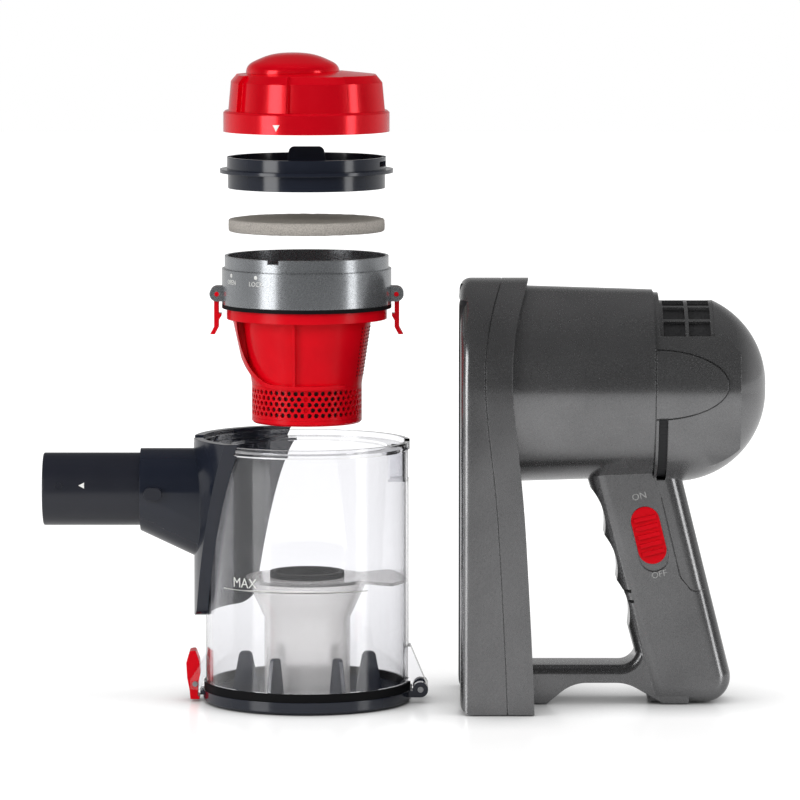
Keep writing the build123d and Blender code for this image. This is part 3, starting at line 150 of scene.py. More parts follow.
# %% Satin, polished and matt dark plastic
def grained(name, colour, rough, grain, grain_mm=0.5, ior=1.53):
    """A moulded plastic: slow drift in tone and gloss, fine grain, and edges that the tool rounds."""
    drift_mm, edge_mm, grain_deep_mm, tones = 18, 0.5, 0.05, (0.86, 1.14)
    material, tree, shader, where = finish_named(name)
    drift = add(tree, "ShaderNodeTexNoise", {"Scale": per_mm(drift_mm), "Detail": 3.0}, where)
    fine = add(tree, "ShaderNodeTexNoise", {"Scale": per_mm(grain_mm), "Detail": 2.0}, where)
    gloss = add(tree, "ShaderNodeMapRange", {"To Min": rough[0], "To Max": rough[1]},
                {"Value": drift.outputs["Fac"]})
    tone = add(tree, "ShaderNodeValToRGB", None, {"Fac": drift.outputs["Fac"]})
    for element, share in zip(tone.color_ramp.elements, tones):
        element.color = linear(colour, share)
    edge = add(tree, "ShaderNodeBevel", {"Radius": edge_mm * MM}, samples=4)
    bump = add(tree, "ShaderNodeBump", {"Strength": grain, "Distance": grain_deep_mm * MM},
               {"Height": fine.outputs["Fac"], "Normal": edge.outputs["Normal"]})
    feed(tree, shader, {"Base Color": tone.outputs["Color"], "Roughness": gloss.outputs["Result"],
                        "Normal": bump.outputs["Normal"]})
    give(shader, {"IOR": ior})
    return material


satin_dark = grained("satin_abs_blue_black", "#20222B", rough=(0.26, 0.36), grain=0.2)
polished_dark = grained("polished_abs_blue_black", "#20242F", rough=(0.12, 0.18), grain=0.06)
plain_dark = grained("glass_filled_nylon_black", "#1C1D20", rough=(0.5, 0.6), grain=0.4)
print("dark mouldings:", satin_dark.name, polished_dark.name, plain_dark.name)

# %% [markdown]
# ## Red ABS
# The cone, its sleeve, the clips, the latch and the slider are red ABS polished in the tool, and the clip
# pins are coloured to match. It is the same recipe with a smoother grain and a weaker mirror, so that
# the white room hardly washes out the red.

# %% Polished red ABS
red_abs = grained("polished_abs_red", "#E4061A", rough=(0.2, 0.3), grain=0.06, ior=1.22)
print("red mouldings:", red_abs.name)

# %% [markdown]
# ## Lacquer with flake
# The cap is sprayed in a candy red, the motor body in a grey with aluminium flake and the head ring in a
# lighter grey, all under clear lacquer. Flakes are about 0.1 mm; Voronoi cells of 0.35 mm stand for
# them, the finest that shows. Each cell gets its own tone. The clear coat on top gives the sharp
# highlights.

# %% Flake lacquers
def flake_lacquer(name, dark, light, metallic, roughness, coat, flake_share):
    """A metallic paint whose flakes differ in tone and gloss, under a clear coat."""
    flake_mm, drift_mm, edge_mm, rough_swing = 0.35, 40, 0.6, 0.06
    material, tree, shader, where = finish_named(name)
    flake = add(tree, "ShaderNodeTexVoronoi", {"Scale": per_mm(flake_mm)}, where)
    drift = add(tree, "ShaderNodeTexNoise", {"Scale": per_mm(drift_mm), "Detail": 2.0}, where)
    own = add(tree, "ShaderNodeSeparateColor", None, {"Color": flake.outputs["Color"]})
    mix = add(tree, "ShaderNodeMix", {"Factor": flake_share},
              {"A": drift.outputs["Fac"], "B": own.outputs["Red"]}, data_type="FLOAT")
    tone = add(tree, "ShaderNodeValToRGB", None, {"Fac": mix.outputs["Result"]})
    for element, code in zip(tone.color_ramp.elements, (dark, light)):
        element.color = linear(code)
    gloss = add(tree, "ShaderNodeMapRange",
                {"To Min": roughness - rough_swing, "To Max": roughness + rough_swing},
                {"Value": own.outputs["Green"]})
    edge = add(tree, "ShaderNodeBevel", {"Radius": edge_mm * MM}, samples=4)
    feed(tree, shader, {"Base Color": tone.outputs["Color"], "Roughness": gloss.outputs["Result"],
                        "Normal": edge.outputs["Normal"]})
    give(shader, {"Metallic": metallic, "Coat Weight": coat, "Coat Roughness": 0.06})
    return material


candy_red = flake_lacquer("candy_lacquer_red", "#D80014", "#FF0020",
                          metallic=0.4, roughness=0.2, coat=0.12, flake_share=0.12)
grey_lacquer = flake_lacquer("flake_lacquer_grey", "#666667", "#959596",
                             metallic=0.8, roughness=0.22, coat=0.3, flake_share=0.3)
ring_lacquer = flake_lacquer("flake_lacquer_light_grey", "#898B8E", "#A0A3A6",
                             metallic=0.75, roughness=0.24, coat=0.25, flake_share=0.1)
print("lacquers:", candy_red.name, grey_lacquer.name, ring_lacquer.name)

# %% [markdown]
# ## Rubber, foam and paper
# Seals are moulded nitrile rubber: matt, nearly black. The foam is open-cell polyurethane with pores of
# about 1 mm, so Voronoi cells of that size give both the bump and the painted shade that darkens the
# pores where the bump is lowest. The filter is pleated paper, whose rough felt is drawn with the same
# cells and the same painted shade, only paler and shallower.

# %% Rubber, foam and paper
rubber = grained("moulded_nitrile_rubber", "#131315", rough=(0.55, 0.7), grain=0.5, grain_mm=0.8, ior=1.2)


def cellular(name, colour, pore_mm, pore_deep_mm, roughness):
    """A porous matter: cells lower in their pores and painted darker there as shade, broken up by a finer
    grit.
    """
    grit_share, tones, pore_shade_from = 0.6, (1.15, 0.7), 0.5
    material, tree, shader, where = finish_named(name)
    pores = add(tree, "ShaderNodeTexVoronoi", {"Scale": per_mm(pore_mm)}, where)
    grit = add(tree, "ShaderNodeTexNoise", {"Scale": per_mm(pore_mm * grit_share), "Detail": 4.0}, where)
    mix = add(tree, "ShaderNodeMath", None, {0: pores.outputs["Distance"], 1: grit.outputs["Fac"]},
              operation="MULTIPLY")
    # painted shade: the ramp darkens the cells where the inverted bump makes them lowest
    tone = add(tree, "ShaderNodeValToRGB", None, {"Fac": mix.outputs["Value"]})
    for element, share in zip(tone.color_ramp.elements, tones):
        element.color = linear(colour, share)
    tone.color_ramp.elements[1].position = pore_shade_from
    bump = add(tree, "ShaderNodeBump", {"Strength": 1.0, "Distance": pore_deep_mm * MM},
               {"Height": mix.outputs["Value"]}, invert=True)
    feed(tree, shader, {"Base Color": tone.outputs["Color"], "Normal": bump.outputs["Normal"]})
    give(shader, {"Roughness": roughness})
    return material


foam = cellular("open_cell_foam_grey", "#B4AEA7", pore_mm=0.8, pore_deep_mm=0.12, roughness=0.95)
paper = cellular("pleated_filter_paper", "#E9E5DA", pore_mm=0.9, pore_deep_mm=0.08, roughness=0.9)
dark_foam = cellular("open_cell_foam_charcoal", "#2A2A2B", pore_mm=1.1, pore_deep_mm=0.5, roughness=0.95)
print("soft finishes:", rubber.name, foam.name, dark_foam.name, paper.name)

# %% [markdown]
# ## Metal, sleeve and board
# The hinge and latch pins, screws, bearings, shaft and motor can are turned steel, whose marks run round
# the axis. The stator and the rotor's core are stacks of sheets about 0.5 mm thick, drawn at 0.8 mm.
# Cells wear a shrink sleeve and the board a green lacquer. Most of these sit inside, and show when the
# set is taken apart.

# %% Metal, sleeve and board
def striped_metal(name, dark, light, step_mm, roughness):
    """A metal with fine stripes round the X axis, along which the fan's shaft lies."""
    along_stripe = 0.02
    material, tree, shader, where = finish_named(name)
    turn = add(tree, "ShaderNodeMapping", {"Scale": (1.0, along_stripe, along_stripe)}, where)
    marks = add(tree, "ShaderNodeTexNoise", {"Scale": per_mm(step_mm), "Detail": 3.0},
                {"Vector": turn.outputs["Vector"]})
    tone = add(tree, "ShaderNodeValToRGB", None, {"Fac": marks.outputs["Fac"]})
    for element, code in zip(tone.color_ramp.elements, (dark, light)):
        element.color = linear(code)
    feed(tree, shader, {"Base Color": tone.outputs["Color"]})
    give(shader, {"Metallic": 1.0, "Roughness": roughness})
    return material


steel = striped_metal("turned_steel", "#8E8F92", "#C9CACC", step_mm=0.4, roughness=0.3)
iron = striped_metal("laminated_iron", "#4A4A4C", "#77777A", step_mm=0.8, roughness=0.45)
sleeve = grained("shrink_sleeve_blue", "#2A5F86", rough=(0.25, 0.35), grain=0.1)
board = grained("lacquered_board_green", "#1E5B36", rough=(0.3, 0.45), grain=0.2, grain_mm=2.0)
print("inner finishes:", steel.name, iron.name, sleeve.name, board.name)

# %% [markdown]
# ## Printing ink
# Marks on the cup, ring, cap and tube are pad-printed in white ink and the words on the grip in grey, as
# a thin raised film. The ink is matt and a little uneven.

# %% Printing ink
ink = grained("pad_print_white", "#F1F1EE", rough=(0.45, 0.6), grain=0.1)
grey_ink = grained("pad_print_grey", "#B9B9B8", rough=(0.45, 0.6), grain=0.1)
print("prints:", ink.name, grey_ink.name)

# %% [markdown]
# ## Smooth walls and crisp edges
# The solids arrive as loose triangles. One small Geometry Nodes tree, used as a modifier on each, merges
# the corners and shades smooth every edge that turns by less than a set angle, so round walls look round
# and real edges stay crisp.

# %% Smooth shading for the solids
smooth = bpy.data.node_groups.new("merge_and_shade", "GeometryNodeTree")
smooth.interface.new_socket("Geometry", in_out="INPUT", socket_type="NodeSocketGeometry")
smooth.interface.new_socket("Geometry", in_out="OUTPUT", socket_type="NodeSocketGeometry")
angle_input = smooth.interface.new_socket("Sharp angle", in_out="INPUT", socket_type="NodeSocketFloat")
entry = add(smooth, "NodeGroupInput")
joined = add(smooth, "GeometryNodeMergeByDistance", {"Distance": 1e-6},
             {"Geometry": entry.outputs["Geometry"]})
faces = add(smooth, "GeometryNodeSetShadeSmooth", None,
            {"Geometry": joined.outputs["Geometry"]}, domain="FACE")
bend = add(smooth, "GeometryNodeInputMeshEdgeAngle")
sharp = add(smooth, "FunctionNodeCompare", None,
            {"A": bend.outputs["Unsigned Angle"], "B": entry.outputs["Sharp angle"]},
            operation="GREATER_THAN")
edges = add(smooth, "GeometryNodeSetShadeSmooth", {"Shade Smooth": False},
            {"Geometry": faces.outputs["Geometry"], "Selection": sharp.outputs["Result"]}, domain="EDGE")
add(smooth, "NodeGroupOutput", None, {"Geometry": edges.outputs["Geometry"]})
print("shading tree:", smooth.name, "with", len(smooth.nodes), "nodes")

# %% [markdown]
# ## Dressing the solids
# Each solid takes its finish and the shading modifier. The slider is kept out of mirror images, because
# the lacquer beside it would show it as a red smear that the real grip doesn't have.

# %% Finishes of the solids
finishes = {
    clear: ["dust_cup"],
    frosted: ["dust_funnel"],
    satin_dark: ["inlet_tube", "tube_button"],
    polished_dark: ["inlet_duct", "filter_tray", "bottom_lid"],
    plain_dark: ["dock_saddle", "switch_block", "fan_shroud", "impeller", "battery_frame", "charge_socket"],
    red_abs: ["lid_latch", "cyclone_cone", "cone_mesh", "clip_right", "clip_left", "clip_pins",
              "power_slider"],
    candy_red: ["filter_cap", "cap_dome"],
    grey_lacquer: ["dock_shell", "spine_shell", "motor_housing", "rear_cover", "exhaust_grille"],
    ring_lacquer: ["head_ring", "clip_brackets"],
    rubber: ["funnel_seal", "lid_seal", "head_seal", "cap_seal", "intake_snout", "motor_mounts"],
    foam: ["foam_disc"],
    dark_foam: ["exhaust_foam"],
    paper: ["fine_filter"],
    steel: ["hinge_pin", "latch_pin", "housing_screws", "motor_can", "motor_bearings", "rotor_shaft"],
    iron: ["motor_stator", "rotor_core"],
    sleeve: ["battery_cells"],
    board: ["control_board"],
}
sharp_from = radians(32)
for material, names in finishes.items():
    for name in names:
        solid = nodes[name]
        solid.data.materials.clear()
        solid.data.materials.append(material)
        shading = solid.modifiers.new("shade", "NODES")
        shading.node_group = smooth
        shading[angle_input.identifier] = sharp_from
nodes["power_slider"].visible_glossy = False
dressed = {name for names in finishes.values() for name in names}
print("dressed", len(dressed), "of", len(nodes), "left:", sorted(set(nodes) - dressed))

# %% [markdown]
# ## From a flat drawing to its place
# Prints are drawn flat, x to the right and y up in millimetres, and then carried to their surface. A
# flat flank needs an origin and a direction. A round wall wraps x about the cup's axis; the angle counts
# from the side that faces the viewer, to the right. A tube that lies along X wraps y instead.

# %% Placing helpers
def on_wall(radius, x_mm, z_mm):
    """Wraps a drawing on a round wall about the cup's axis, centred where the wall is x_mm to the right."""
    start = asin(x_mm / radius)

    def place(x, y, lift):
        angle = start + x / radius
        reach = (radius + lift) * MM
        return Vector((reach * sin(angle), -reach * cos(angle), (z_mm + y) * MM))

    return place


def on_flank(x_mm, y_mm, z_mm, turn):
    """Lays a drawing on a flat flank that faces the viewer, turned anticlockwise by turn degrees."""
    c, s = cos(radians(turn)), sin(radians(turn))

    def place(x, y, lift):
        return Vector(((x_mm + c * x - s * y) * MM, (y_mm - lift) * MM, (z_mm + s * x + c * y) * MM))

    return place


def on_tube(radius, x_mm, axis_z_mm, rise_mm, side=-1):
    """Wraps a drawing on the near side, or with side 1 the far side, of a round form that lies along X."""
    start = asin(rise_mm / radius)

    def place(x, y, lift):
        angle = start + y / radius
        reach = (radius + lift) * MM
        return Vector(((x_mm + x) * MM, side * reach * cos(angle), axis_z_mm * MM + reach * sin(angle)))

    return place


cup_wall = 56.0
mark = on_wall(cup_wall, 10.0, 60.0)(0, 0, 0)
print("a mark 10 mm to the right on the cup is at", [round(v, 4) for v in mark])

# %% [markdown]
# ## From a mesh to a piece
# A mesh becomes a piece once it rides on a body and carries its finish. What a text or a tree of nodes
# makes is turned into a plain mesh first.

# %% Piece helpers
def in_scene(name, data):
    """A new object in the scene."""
    thing = bpy.data.objects.new(name, data)
    bpy.context.scene.collection.objects.link(thing)
    return thing


def outward(bm):
    """Turns the faces of closed shapes outwards; moved points leave old normals, so they come first."""
    bm.normal_update()
    bmesh.ops.recalc_face_normals(bm, faces=bm.faces)


def as_mesh(bm, name):
    """The finished bmesh as a mesh."""
    mesh = bpy.data.meshes.new(name)
    bm.to_mesh(mesh)
    bm.free()
    return mesh


def baked(holder):
    """The plain mesh that an object's text or modifier makes; the object itself goes."""
    bpy.context.view_layer.update()
    mesh = bpy.data.meshes.new_from_object(holder.evaluated_get(bpy.context.evaluated_depsgraph_get()))
    bpy.data.objects.remove(holder)
    return mesh


def keep(name, mesh, body, material):
    """Makes the mesh a piece that rides on a body."""
    mesh.name = name
    mesh.materials.clear()
    mesh.materials.append(material)
    piece = in_scene(name, mesh)
    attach(piece, body)
    return piece


# %% [markdown]
# ## Thin films
# A print is a film about a tenth of a millimetre thick. It gets that thickness while it is still flat
# and is then carried to its surface, point by point. It starts a little under the surface, so that no
# gap shows below it.

# %% Film helpers
print_film = (-0.05, 0.12)


def printed(name, loops, place, body, material=ink, film=print_film):
    """Flat outlines, in millimetres, made a thin film and carried to their place."""
    low, high = film
    bm = bmesh.new()
    for loop in loops:
        base = bm.faces.new([bm.verts.new((x, y, low)) for x, y in loop])
        moved = bmesh.ops.extrude_face_region(bm, geom=[base])["geom"]
        raised = [item for item in moved if isinstance(item, bmesh.types.BMVert)]
        bmesh.ops.translate(bm, verts=raised, vec=(0, 0, high - low))
    for vert in bm.verts:
        vert.co = place(*vert.co)
    outward(bm)
    return keep(name, as_mesh(bm, name), body, material)


def lettered(name, text, tall, place, body, material=ink, film=print_film):
    """A word of the given letter height, in millimetres, made a thin film and carried to its place."""
    low, high = film
    curve = bpy.data.curves.new(name, "FONT")
    curve.body = text
    curve.align_x = "CENTER"
    curve.resolution_u = 3
    curve.extrude = 0.5
    mesh = baked(in_scene(name + "_curve", curve))
    size = tall / max(v.co.y for v in mesh.vertices)
    for vert in mesh.vertices:
        lift = high if vert.co.z > 0 else low
        vert.co = place(vert.co.x * size, vert.co.y * size, lift)
    bm = bmesh.new()
    bm.from_mesh(mesh)
    bmesh.ops.remove_doubles(bm, verts=bm.verts, dist=1e-6)
    outward(bm)
    bm.to_mesh(mesh)
    bm.free()
    return keep(name, mesh, body, material)


def round_outline(radius, count):
    """Points round a circle about the drawing's origin."""
    turns = [2 * pi * i / count for i in range(count)]
    return [(radius * cos(turn), radius * sin(turn)) for turn in turns]


print("a print is", round(print_film[1] - print_film[0], 2), "mm thick")

# %% [markdown]
# ## Prints on the cup, ring and cap
# The cup has a level line and the word MAX; the ring has a dot over OPEN and a dot over LOCK for the
# clips; the cap has a small arrow. All three are round walls about the same axis, so each print needs
# only the wall's radius, how far to the right it stands, and its height.

# %% Prints on the stack
ring_wall, cap_wall = 46.5, 45.5
line_half, line_step, line_thin = 44, 4, 0.25
lower_edge = [(x, -line_thin) for x in range(-line_half, line_half + 1, line_step)]
upper_edge = [(x, line_thin) for x, y in reversed(lower_edge)]
printed("cup_level_line", [lower_edge + upper_edge], on_wall(cup_wall, -8.0, 66.4), "cup")
lettered("cup_max_print", "MAX", 5.2, on_wall(cup_wall, -33.5, 68.0), "cup")

dot, dot_z, word_z, word_tall = round_outline(1.1, 16), 236.4, 231.6, 2.5
for name, x, text in (("open", -40.6, "OPEN"), ("lock", -27.0, "LOCK")):
    printed("ring_dot_" + name, [dot], on_wall(ring_wall, x, dot_z), "head")
    lettered("ring_word_" + name, text, word_tall, on_wall(ring_wall, x, word_z), "head")

down_arrow = [(-2.0, 2.2), (0.0, -1.4), (2.0, 2.2)]
printed("cap_arrow", [down_arrow], on_wall(cap_wall, -15.7, 317.2), "cap")
print("level line", 2 * line_half, "mm long, words on the ring", word_tall, "mm tall")

# %% [markdown]
# ## Marks on the tube and the grip
# The tube has an arrow and, at its end, a small raised ring in its own plastic. The grip has ON and OFF
# at the ends of the slider, on a flank that leans with the grip.

# %% Marks on tube and grip
tube_wall, tube_axis_z, mark_rise = 20.0, 117.0, 4.0
left_arrow = [(-1.7, 0.0), (1.5, -1.7), (1.5, 1.7)]
at_arrow = on_tube(tube_wall, -123.2, tube_axis_z, mark_rise)
printed("tube_arrow", [left_arrow], at_arrow, "tube")

hoop_count, hoop_film = 20, (-0.05, 0.25)
hoop_out, hoop_in = round_outline(2.2, hoop_count), round_outline(1.6, hoop_count)
hoop = []
for i in range(hoop_count):
    j = (i + 1) % hoop_count
    hoop.append([hoop_out[i], hoop_out[j], hoop_in[j], hoop_in[i]])
at_end = on_tube(tube_wall, -135.8, tube_axis_z, mark_rise)
printed("tube_ring_mark", hoop, at_end, "tube", satin_dark, hoop_film)

flank_y, grip_lean = -19.0, 14.0
over_slider = on_flank(182.6, flank_y, 113.4, grip_lean)
under_slider = on_flank(193.6, flank_y, 70.4, grip_lean)
lettered("grip_on_print", "ON", 3.6, over_slider, "motor_body", grey_ink)
lettered("grip_off_print", "OFF", 3.4, under_slider, "motor_body", grey_ink)
print("marks on the tube", mark_rise, "mm over its axis, words on the grip leaning", grip_lean, "degrees")

# %% [markdown]
# ## The foam disc
# The disc is punched from open-cell sheet: its faces are flat but never quite even and its edge is a
# little soft. A ring-by-ring mesh with a small fixed noise gives that, and the foam finish the pores.

# %% Foam disc
disc_low, disc_high = (Vector(corner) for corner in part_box("foam_disc"))
radius = (disc_high.x - disc_low.x) / 2 / MM
middle, half = (disc_low.z + disc_high.z) / 2 / MM, (disc_high.z - disc_low.z) / 2 / MM
inset, around, face_shares = 0.3, 96, (0.2, 0.4, 0.6, 0.75, 0.88, 0.95)
profile = [(0.0, half - inset)] + [(radius * share, half - inset) for share in face_shares]
profile += [(radius - 0.9, half - 0.45), (radius - 0.35, half - 1.0), (radius - 0.25, 0.0)]
profile += [(r, -z) for r, z in reversed(profile[:-1])]
bm = bmesh.new()
rings = []
for r, z in profile:
    if r == 0.0:
        rings.append([bm.verts.new((0, 0, z))])
    else:
        rings.append([bm.verts.new((x, y, z)) for x, y in round_outline(r, around)])
for upper, lower in zip(rings, rings[1:]):
    for i in range(around):
        j = (i + 1) % around
        quad = [upper[i % len(upper)], upper[j % len(upper)], lower[j % len(lower)], lower[i % len(lower)]]
        bm.faces.new(list(dict.fromkeys(quad)))
wave_per_mm, wave_mm, edge_per_mm, edge_share = 0.22, 0.22, 0.5, 0.0015
for vert in bm.verts:
    vert.co.z += noise.noise(vert.co * wave_per_mm) * wave_mm
    vert.co.x *= 1 + edge_share * noise.noise(vert.co * edge_per_mm)
    vert.co = Vector((vert.co.x * MM, vert.co.y * MM, (vert.co.z + middle) * MM))
outward(bm)
mesh = as_mesh(bm, "foam_disc_soft")
for polygon in mesh.polygons:
    polygon.use_smooth = True
disc_piece = keep("foam_disc_soft", mesh, "sponge", foam)
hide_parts("foam_disc")
print("foam disc", round(2 * radius, 1), "mm across,", round(2 * half, 1), "mm thick")

# %% [markdown]
# ## The foam under the grille
# A bent strip of darker foam lies under the exhaust grille and shows through its slots. It is laid out
# as two sheets over the angle and the length, an outer and an inner one, with closed edges.

# %% Exhaust foam
strip_low, strip_high = (Vector(corner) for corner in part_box("exhaust_foam"))
end_gap, uneven = 0.2, 0.15
front, rear = strip_low.x / MM + end_gap, strip_high.x / MM - end_gap
drum_axis_z, outer, thick, half_sweep = 175.5, 43.1, 3.8, radians(51.5)
steps_a, steps_x = 40, 16
bm = bmesh.new()
sheets = []
for depth in (0.0, thick):
    sheet = []
    for i in range(steps_a + 1):
        angle = -half_sweep + 2 * half_sweep * i / steps_a
        row = []
        for k in range(steps_x + 1):
            x = front + (rear - front) * k / steps_x
            reach = outer - depth - uneven * abs(noise.noise(Vector((x * 0.3, angle * 9, depth))))
            height = drum_axis_z + reach * cos(angle)
            row.append(bm.verts.new((x * MM, reach * sin(angle) * MM, height * MM)))
        sheet.append(row)
    sheets.append(sheet)
for sheet in sheets:
    for i in range(steps_a):
        for k in range(steps_x):
            bm.faces.new((sheet[i][k], sheet[i][k + 1], sheet[i + 1][k + 1], sheet[i + 1][k]))
over, under = sheets
for i in range(steps_a):
    for k in (0, steps_x):
        bm.faces.new((over[i][k], over[i + 1][k], under[i + 1][k], under[i][k]))
for k in range(steps_x):
    for i in (0, steps_a):
        bm.faces.new((over[i][k], over[i][k + 1], under[i][k + 1], under[i][k]))
outward(bm)
strip = keep("exhaust_foam_soft", as_mesh(bm, "exhaust_foam_soft"), "motor_body", dark_foam)
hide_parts("exhaust_foam")
print("exhaust foam from", round(front, 1), "to", round(rear, 1))

# %% [markdown]
# ## A tree for dimples
# Besides the sleeve with its open holes, the cone's own wall carries a field of fine dimples to the
# right of the rib. They repeat by a rule, so Geometry Nodes make them: a grid of points is wrapped on
# the cone, and a small dark disc is set on each point, facing out from the axis.

# %% Inputs and grid of the dimple tree
field = bpy.data.node_groups.new("cone_dimples", "GeometryNodeTree")
field.interface.new_socket("Geometry", in_out="OUTPUT", socket_type="NodeSocketGeometry")
sizes = {}
for label in ("Rows", "Columns"):
    sizes[label] = field.interface.new_socket(label, in_out="INPUT", socket_type="NodeSocketInt")
for label in ("Hole radius", "Top radius", "Foot radius", "Top height", "Foot height",
              "Start angle", "End angle"):
    sizes[label] = field.interface.new_socket(label, in_out="INPUT", socket_type="NodeSocketFloat")
given = add(field, "NodeGroupInput").outputs
flat_grid = add(field, "GeometryNodeMeshGrid", {"Size X": 1.0, "Size Y": 1.0},
                {"Vertices X": given["Columns"], "Vertices Y": given["Rows"]})
point = add(field, "GeometryNodeInputPosition")
split = add(field, "ShaderNodeSeparateXYZ", None, {"Vector": point.outputs["Position"]})
across = {}
for label, side, first, last in (("angle", "X", "Start angle", "End angle"),
                                 ("height", "Y", "Foot height", "Top height"),
                                 ("reach", "Y", "Foot radius", "Top radius")):
    ends = {"Value": split.outputs[side], "To Min": given[first], "To Max": given[last]}
    run = add(field, "ShaderNodeMapRange", {"From Min": -0.5, "From Max": 0.5}, ends)
    across[label] = run.outputs["Result"]
print("dimple tree inputs:", ", ".join(sizes))

# %% [markdown]
# ## Wrapping the grid
# Each point of the grid now has an angle, a height and a distance from the axis, which give its place on
# the cone. The same angle turns the disc on it. The tree ends by making the copies real and giving them
# a red as dark as the shade in a dimple.

# %% Wrapping and discs of the dimple tree
on_cone = {"Z": across["height"]}
for axis, part in (("X", "COSINE"), ("Y", "SINE")):
    share = add(field, "ShaderNodeMath", None, {0: across["angle"]}, operation=part)
    along = add(field, "ShaderNodeMath", None, {0: across["reach"], 1: share.outputs["Value"]},
                operation="MULTIPLY")
    on_cone[axis] = along.outputs["Value"]
target = add(field, "ShaderNodeCombineXYZ", None, on_cone)
tilt = add(field, "ShaderNodeCombineXYZ", {"X": 0.0, "Y": radians(90)}, {"Z": across["angle"]})
kept = add(field, "GeometryNodeCaptureAttribute", None, {"Geometry": flat_grid.outputs["Mesh"]},
           domain="POINT")
kept.capture_items.new("VECTOR", "Tilt")
feed(field, kept, {"Tilt": tilt.outputs["Vector"]})
wrapped = add(field, "GeometryNodeSetPosition", None,
              {"Geometry": kept.outputs["Geometry"], "Position": target.outputs["Vector"]})
disc_sides, disc_thick = 8, 0.24 * MM
disc = add(field, "GeometryNodeMeshCylinder", {"Vertices": disc_sides, "Depth": disc_thick},
           {"Radius": given["Hole radius"]})
spread = add(field, "GeometryNodeInstanceOnPoints", None,
             {"Points": wrapped.outputs["Geometry"], "Instance": disc.outputs["Mesh"],
              "Rotation": kept.outputs["Tilt"]})
real = add(field, "GeometryNodeRealizeInstances", None, {"Geometry": spread.outputs["Instances"]})
shadow_red = grained("dimple_shadow_red", "#7A0A14", rough=(0.6, 0.7), grain=0.05, ior=1.12)
painted = add(field, "GeometryNodeSetMaterial", {"Material": shadow_red},
              {"Geometry": real.outputs["Geometry"]})
add(field, "NodeGroupOutput", None, {"Geometry": painted.outputs["Geometry"]})
print("dimple tree:", len(field.nodes), "nodes")

# %% [markdown]
# ## Dimples on the cone
# The two radii are those of the cone's wall at the two heights, so the discs just break its surface. The
# angles count from the right, against the clock as seen from above.

# %% Dimples on the cone
holder = in_scene("cone_dimple_field", bpy.data.meshes.new("empty_field"))
maker = holder.modifiers.new("dimples", "NODES")
maker.node_group = field
dimple_sizes = {
    "Rows": 14, "Columns": 13, "Hole radius": 0.5 * MM,
    "Top radius": 34.9 * MM, "Top height": 207.0 * MM,
    "Foot radius": 31.07 * MM, "Foot height": 181.0 * MM,
    "Start angle": radians(-28), "End angle": radians(42),
}
for label, value in dimple_sizes.items():
    maker[sizes[label].identifier] = value
mesh = baked(holder)
keep("cone_dimples", mesh, "head", shadow_red)
print("dimples:", len(mesh.polygons) // (disc_sides + 2))

# %% [markdown]
# ## Painted shade in the sleeve and the side vents
# The holes of the sleeve look dark, as its unlit inside does: a dark red film inside the sleeve is
# painted shade. The slits on the flanks of the rear cover are shallow, and a dark film on their floor is
# painted shade for the dark of deep slits. Both are thin films, made of small flat fields that are
# wrapped on the round wall by the same helpers as the prints.

# %% Painted shade in the sleeve and the vents
# painted shade: a dark red film stands in for the shade inside the cone's sleeve
sleeve_shade = grained("painted_shade_dark_red", "#2B0B0E", rough=(0.6, 0.75), grain=0.6, grain_mm=0.6)


def fields(along_x, along_y, count_x, count_y):
    """A rectangle cut into small fields, centred on the drawing's origin."""
    xs = [along_x * (i / count_x - 0.5) for i in range(count_x + 1)]
    ys = [along_y * (i / count_y - 0.5) for i in range(count_y + 1)]
    return [[(a, c), (b, c), (b, d), (a, d)] for a, b in zip(xs, xs[1:]) for c, d in zip(ys, ys[1:])]


sleeve_low, sleeve_high = (Vector(corner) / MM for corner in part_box("cone_mesh"))
sleeve_wall, sleeve_shade_gap, sleeve_shade_film = 1.4, 0.25, (-0.1, 0.1)
sleeve_shade_radius = sleeve_high.x - sleeve_wall - sleeve_shade_gap
round_about = fields(2 * pi * sleeve_shade_radius, sleeve_high.z - sleeve_low.z, 72, 1)
at_sleeve = on_wall(sleeve_shade_radius, 0.0, (sleeve_low.z + sleeve_high.z) / 2)
printed("sleeve_painted_shade", round_about, at_sleeve, "head", sleeve_shade, sleeve_shade_film)

vent_floor_radius, vent_axis_z, vent_x, vent_rise = 48.3, 171.5, 194.0, -33.9
vent_wide, vent_long, vent_film = 4.6, 52.0, (-0.05, 0.3)
# painted shade: a dark film on the floor of each shallow slit stands in for the dark of a deep one
vent_shade_fields = fields(vent_wide, vent_long, 1, 24)
for name, side in (("vent_shade_near", -1), ("vent_shade_far", 1)):
    at_vent = on_tube(vent_floor_radius, vent_x, vent_axis_z, vent_rise, side)
    printed(name, vent_shade_fields, at_vent, "motor_body", plain_dark, vent_film)
print("gauze radius", round(sleeve_shade_radius, 1), "mm, vent shade_strips at x", vent_x)

# %% [markdown]
# ## Table
# The set stands on a white table. The table looks white to the camera and through the clear cup, and
# less so in mirror images, but its glow doesn't light the set. The glow is lower near the set and fades
# further where the set stands close over the table: a painted shadow that deepens the lamps' own shadow
# under the cup and the foot.

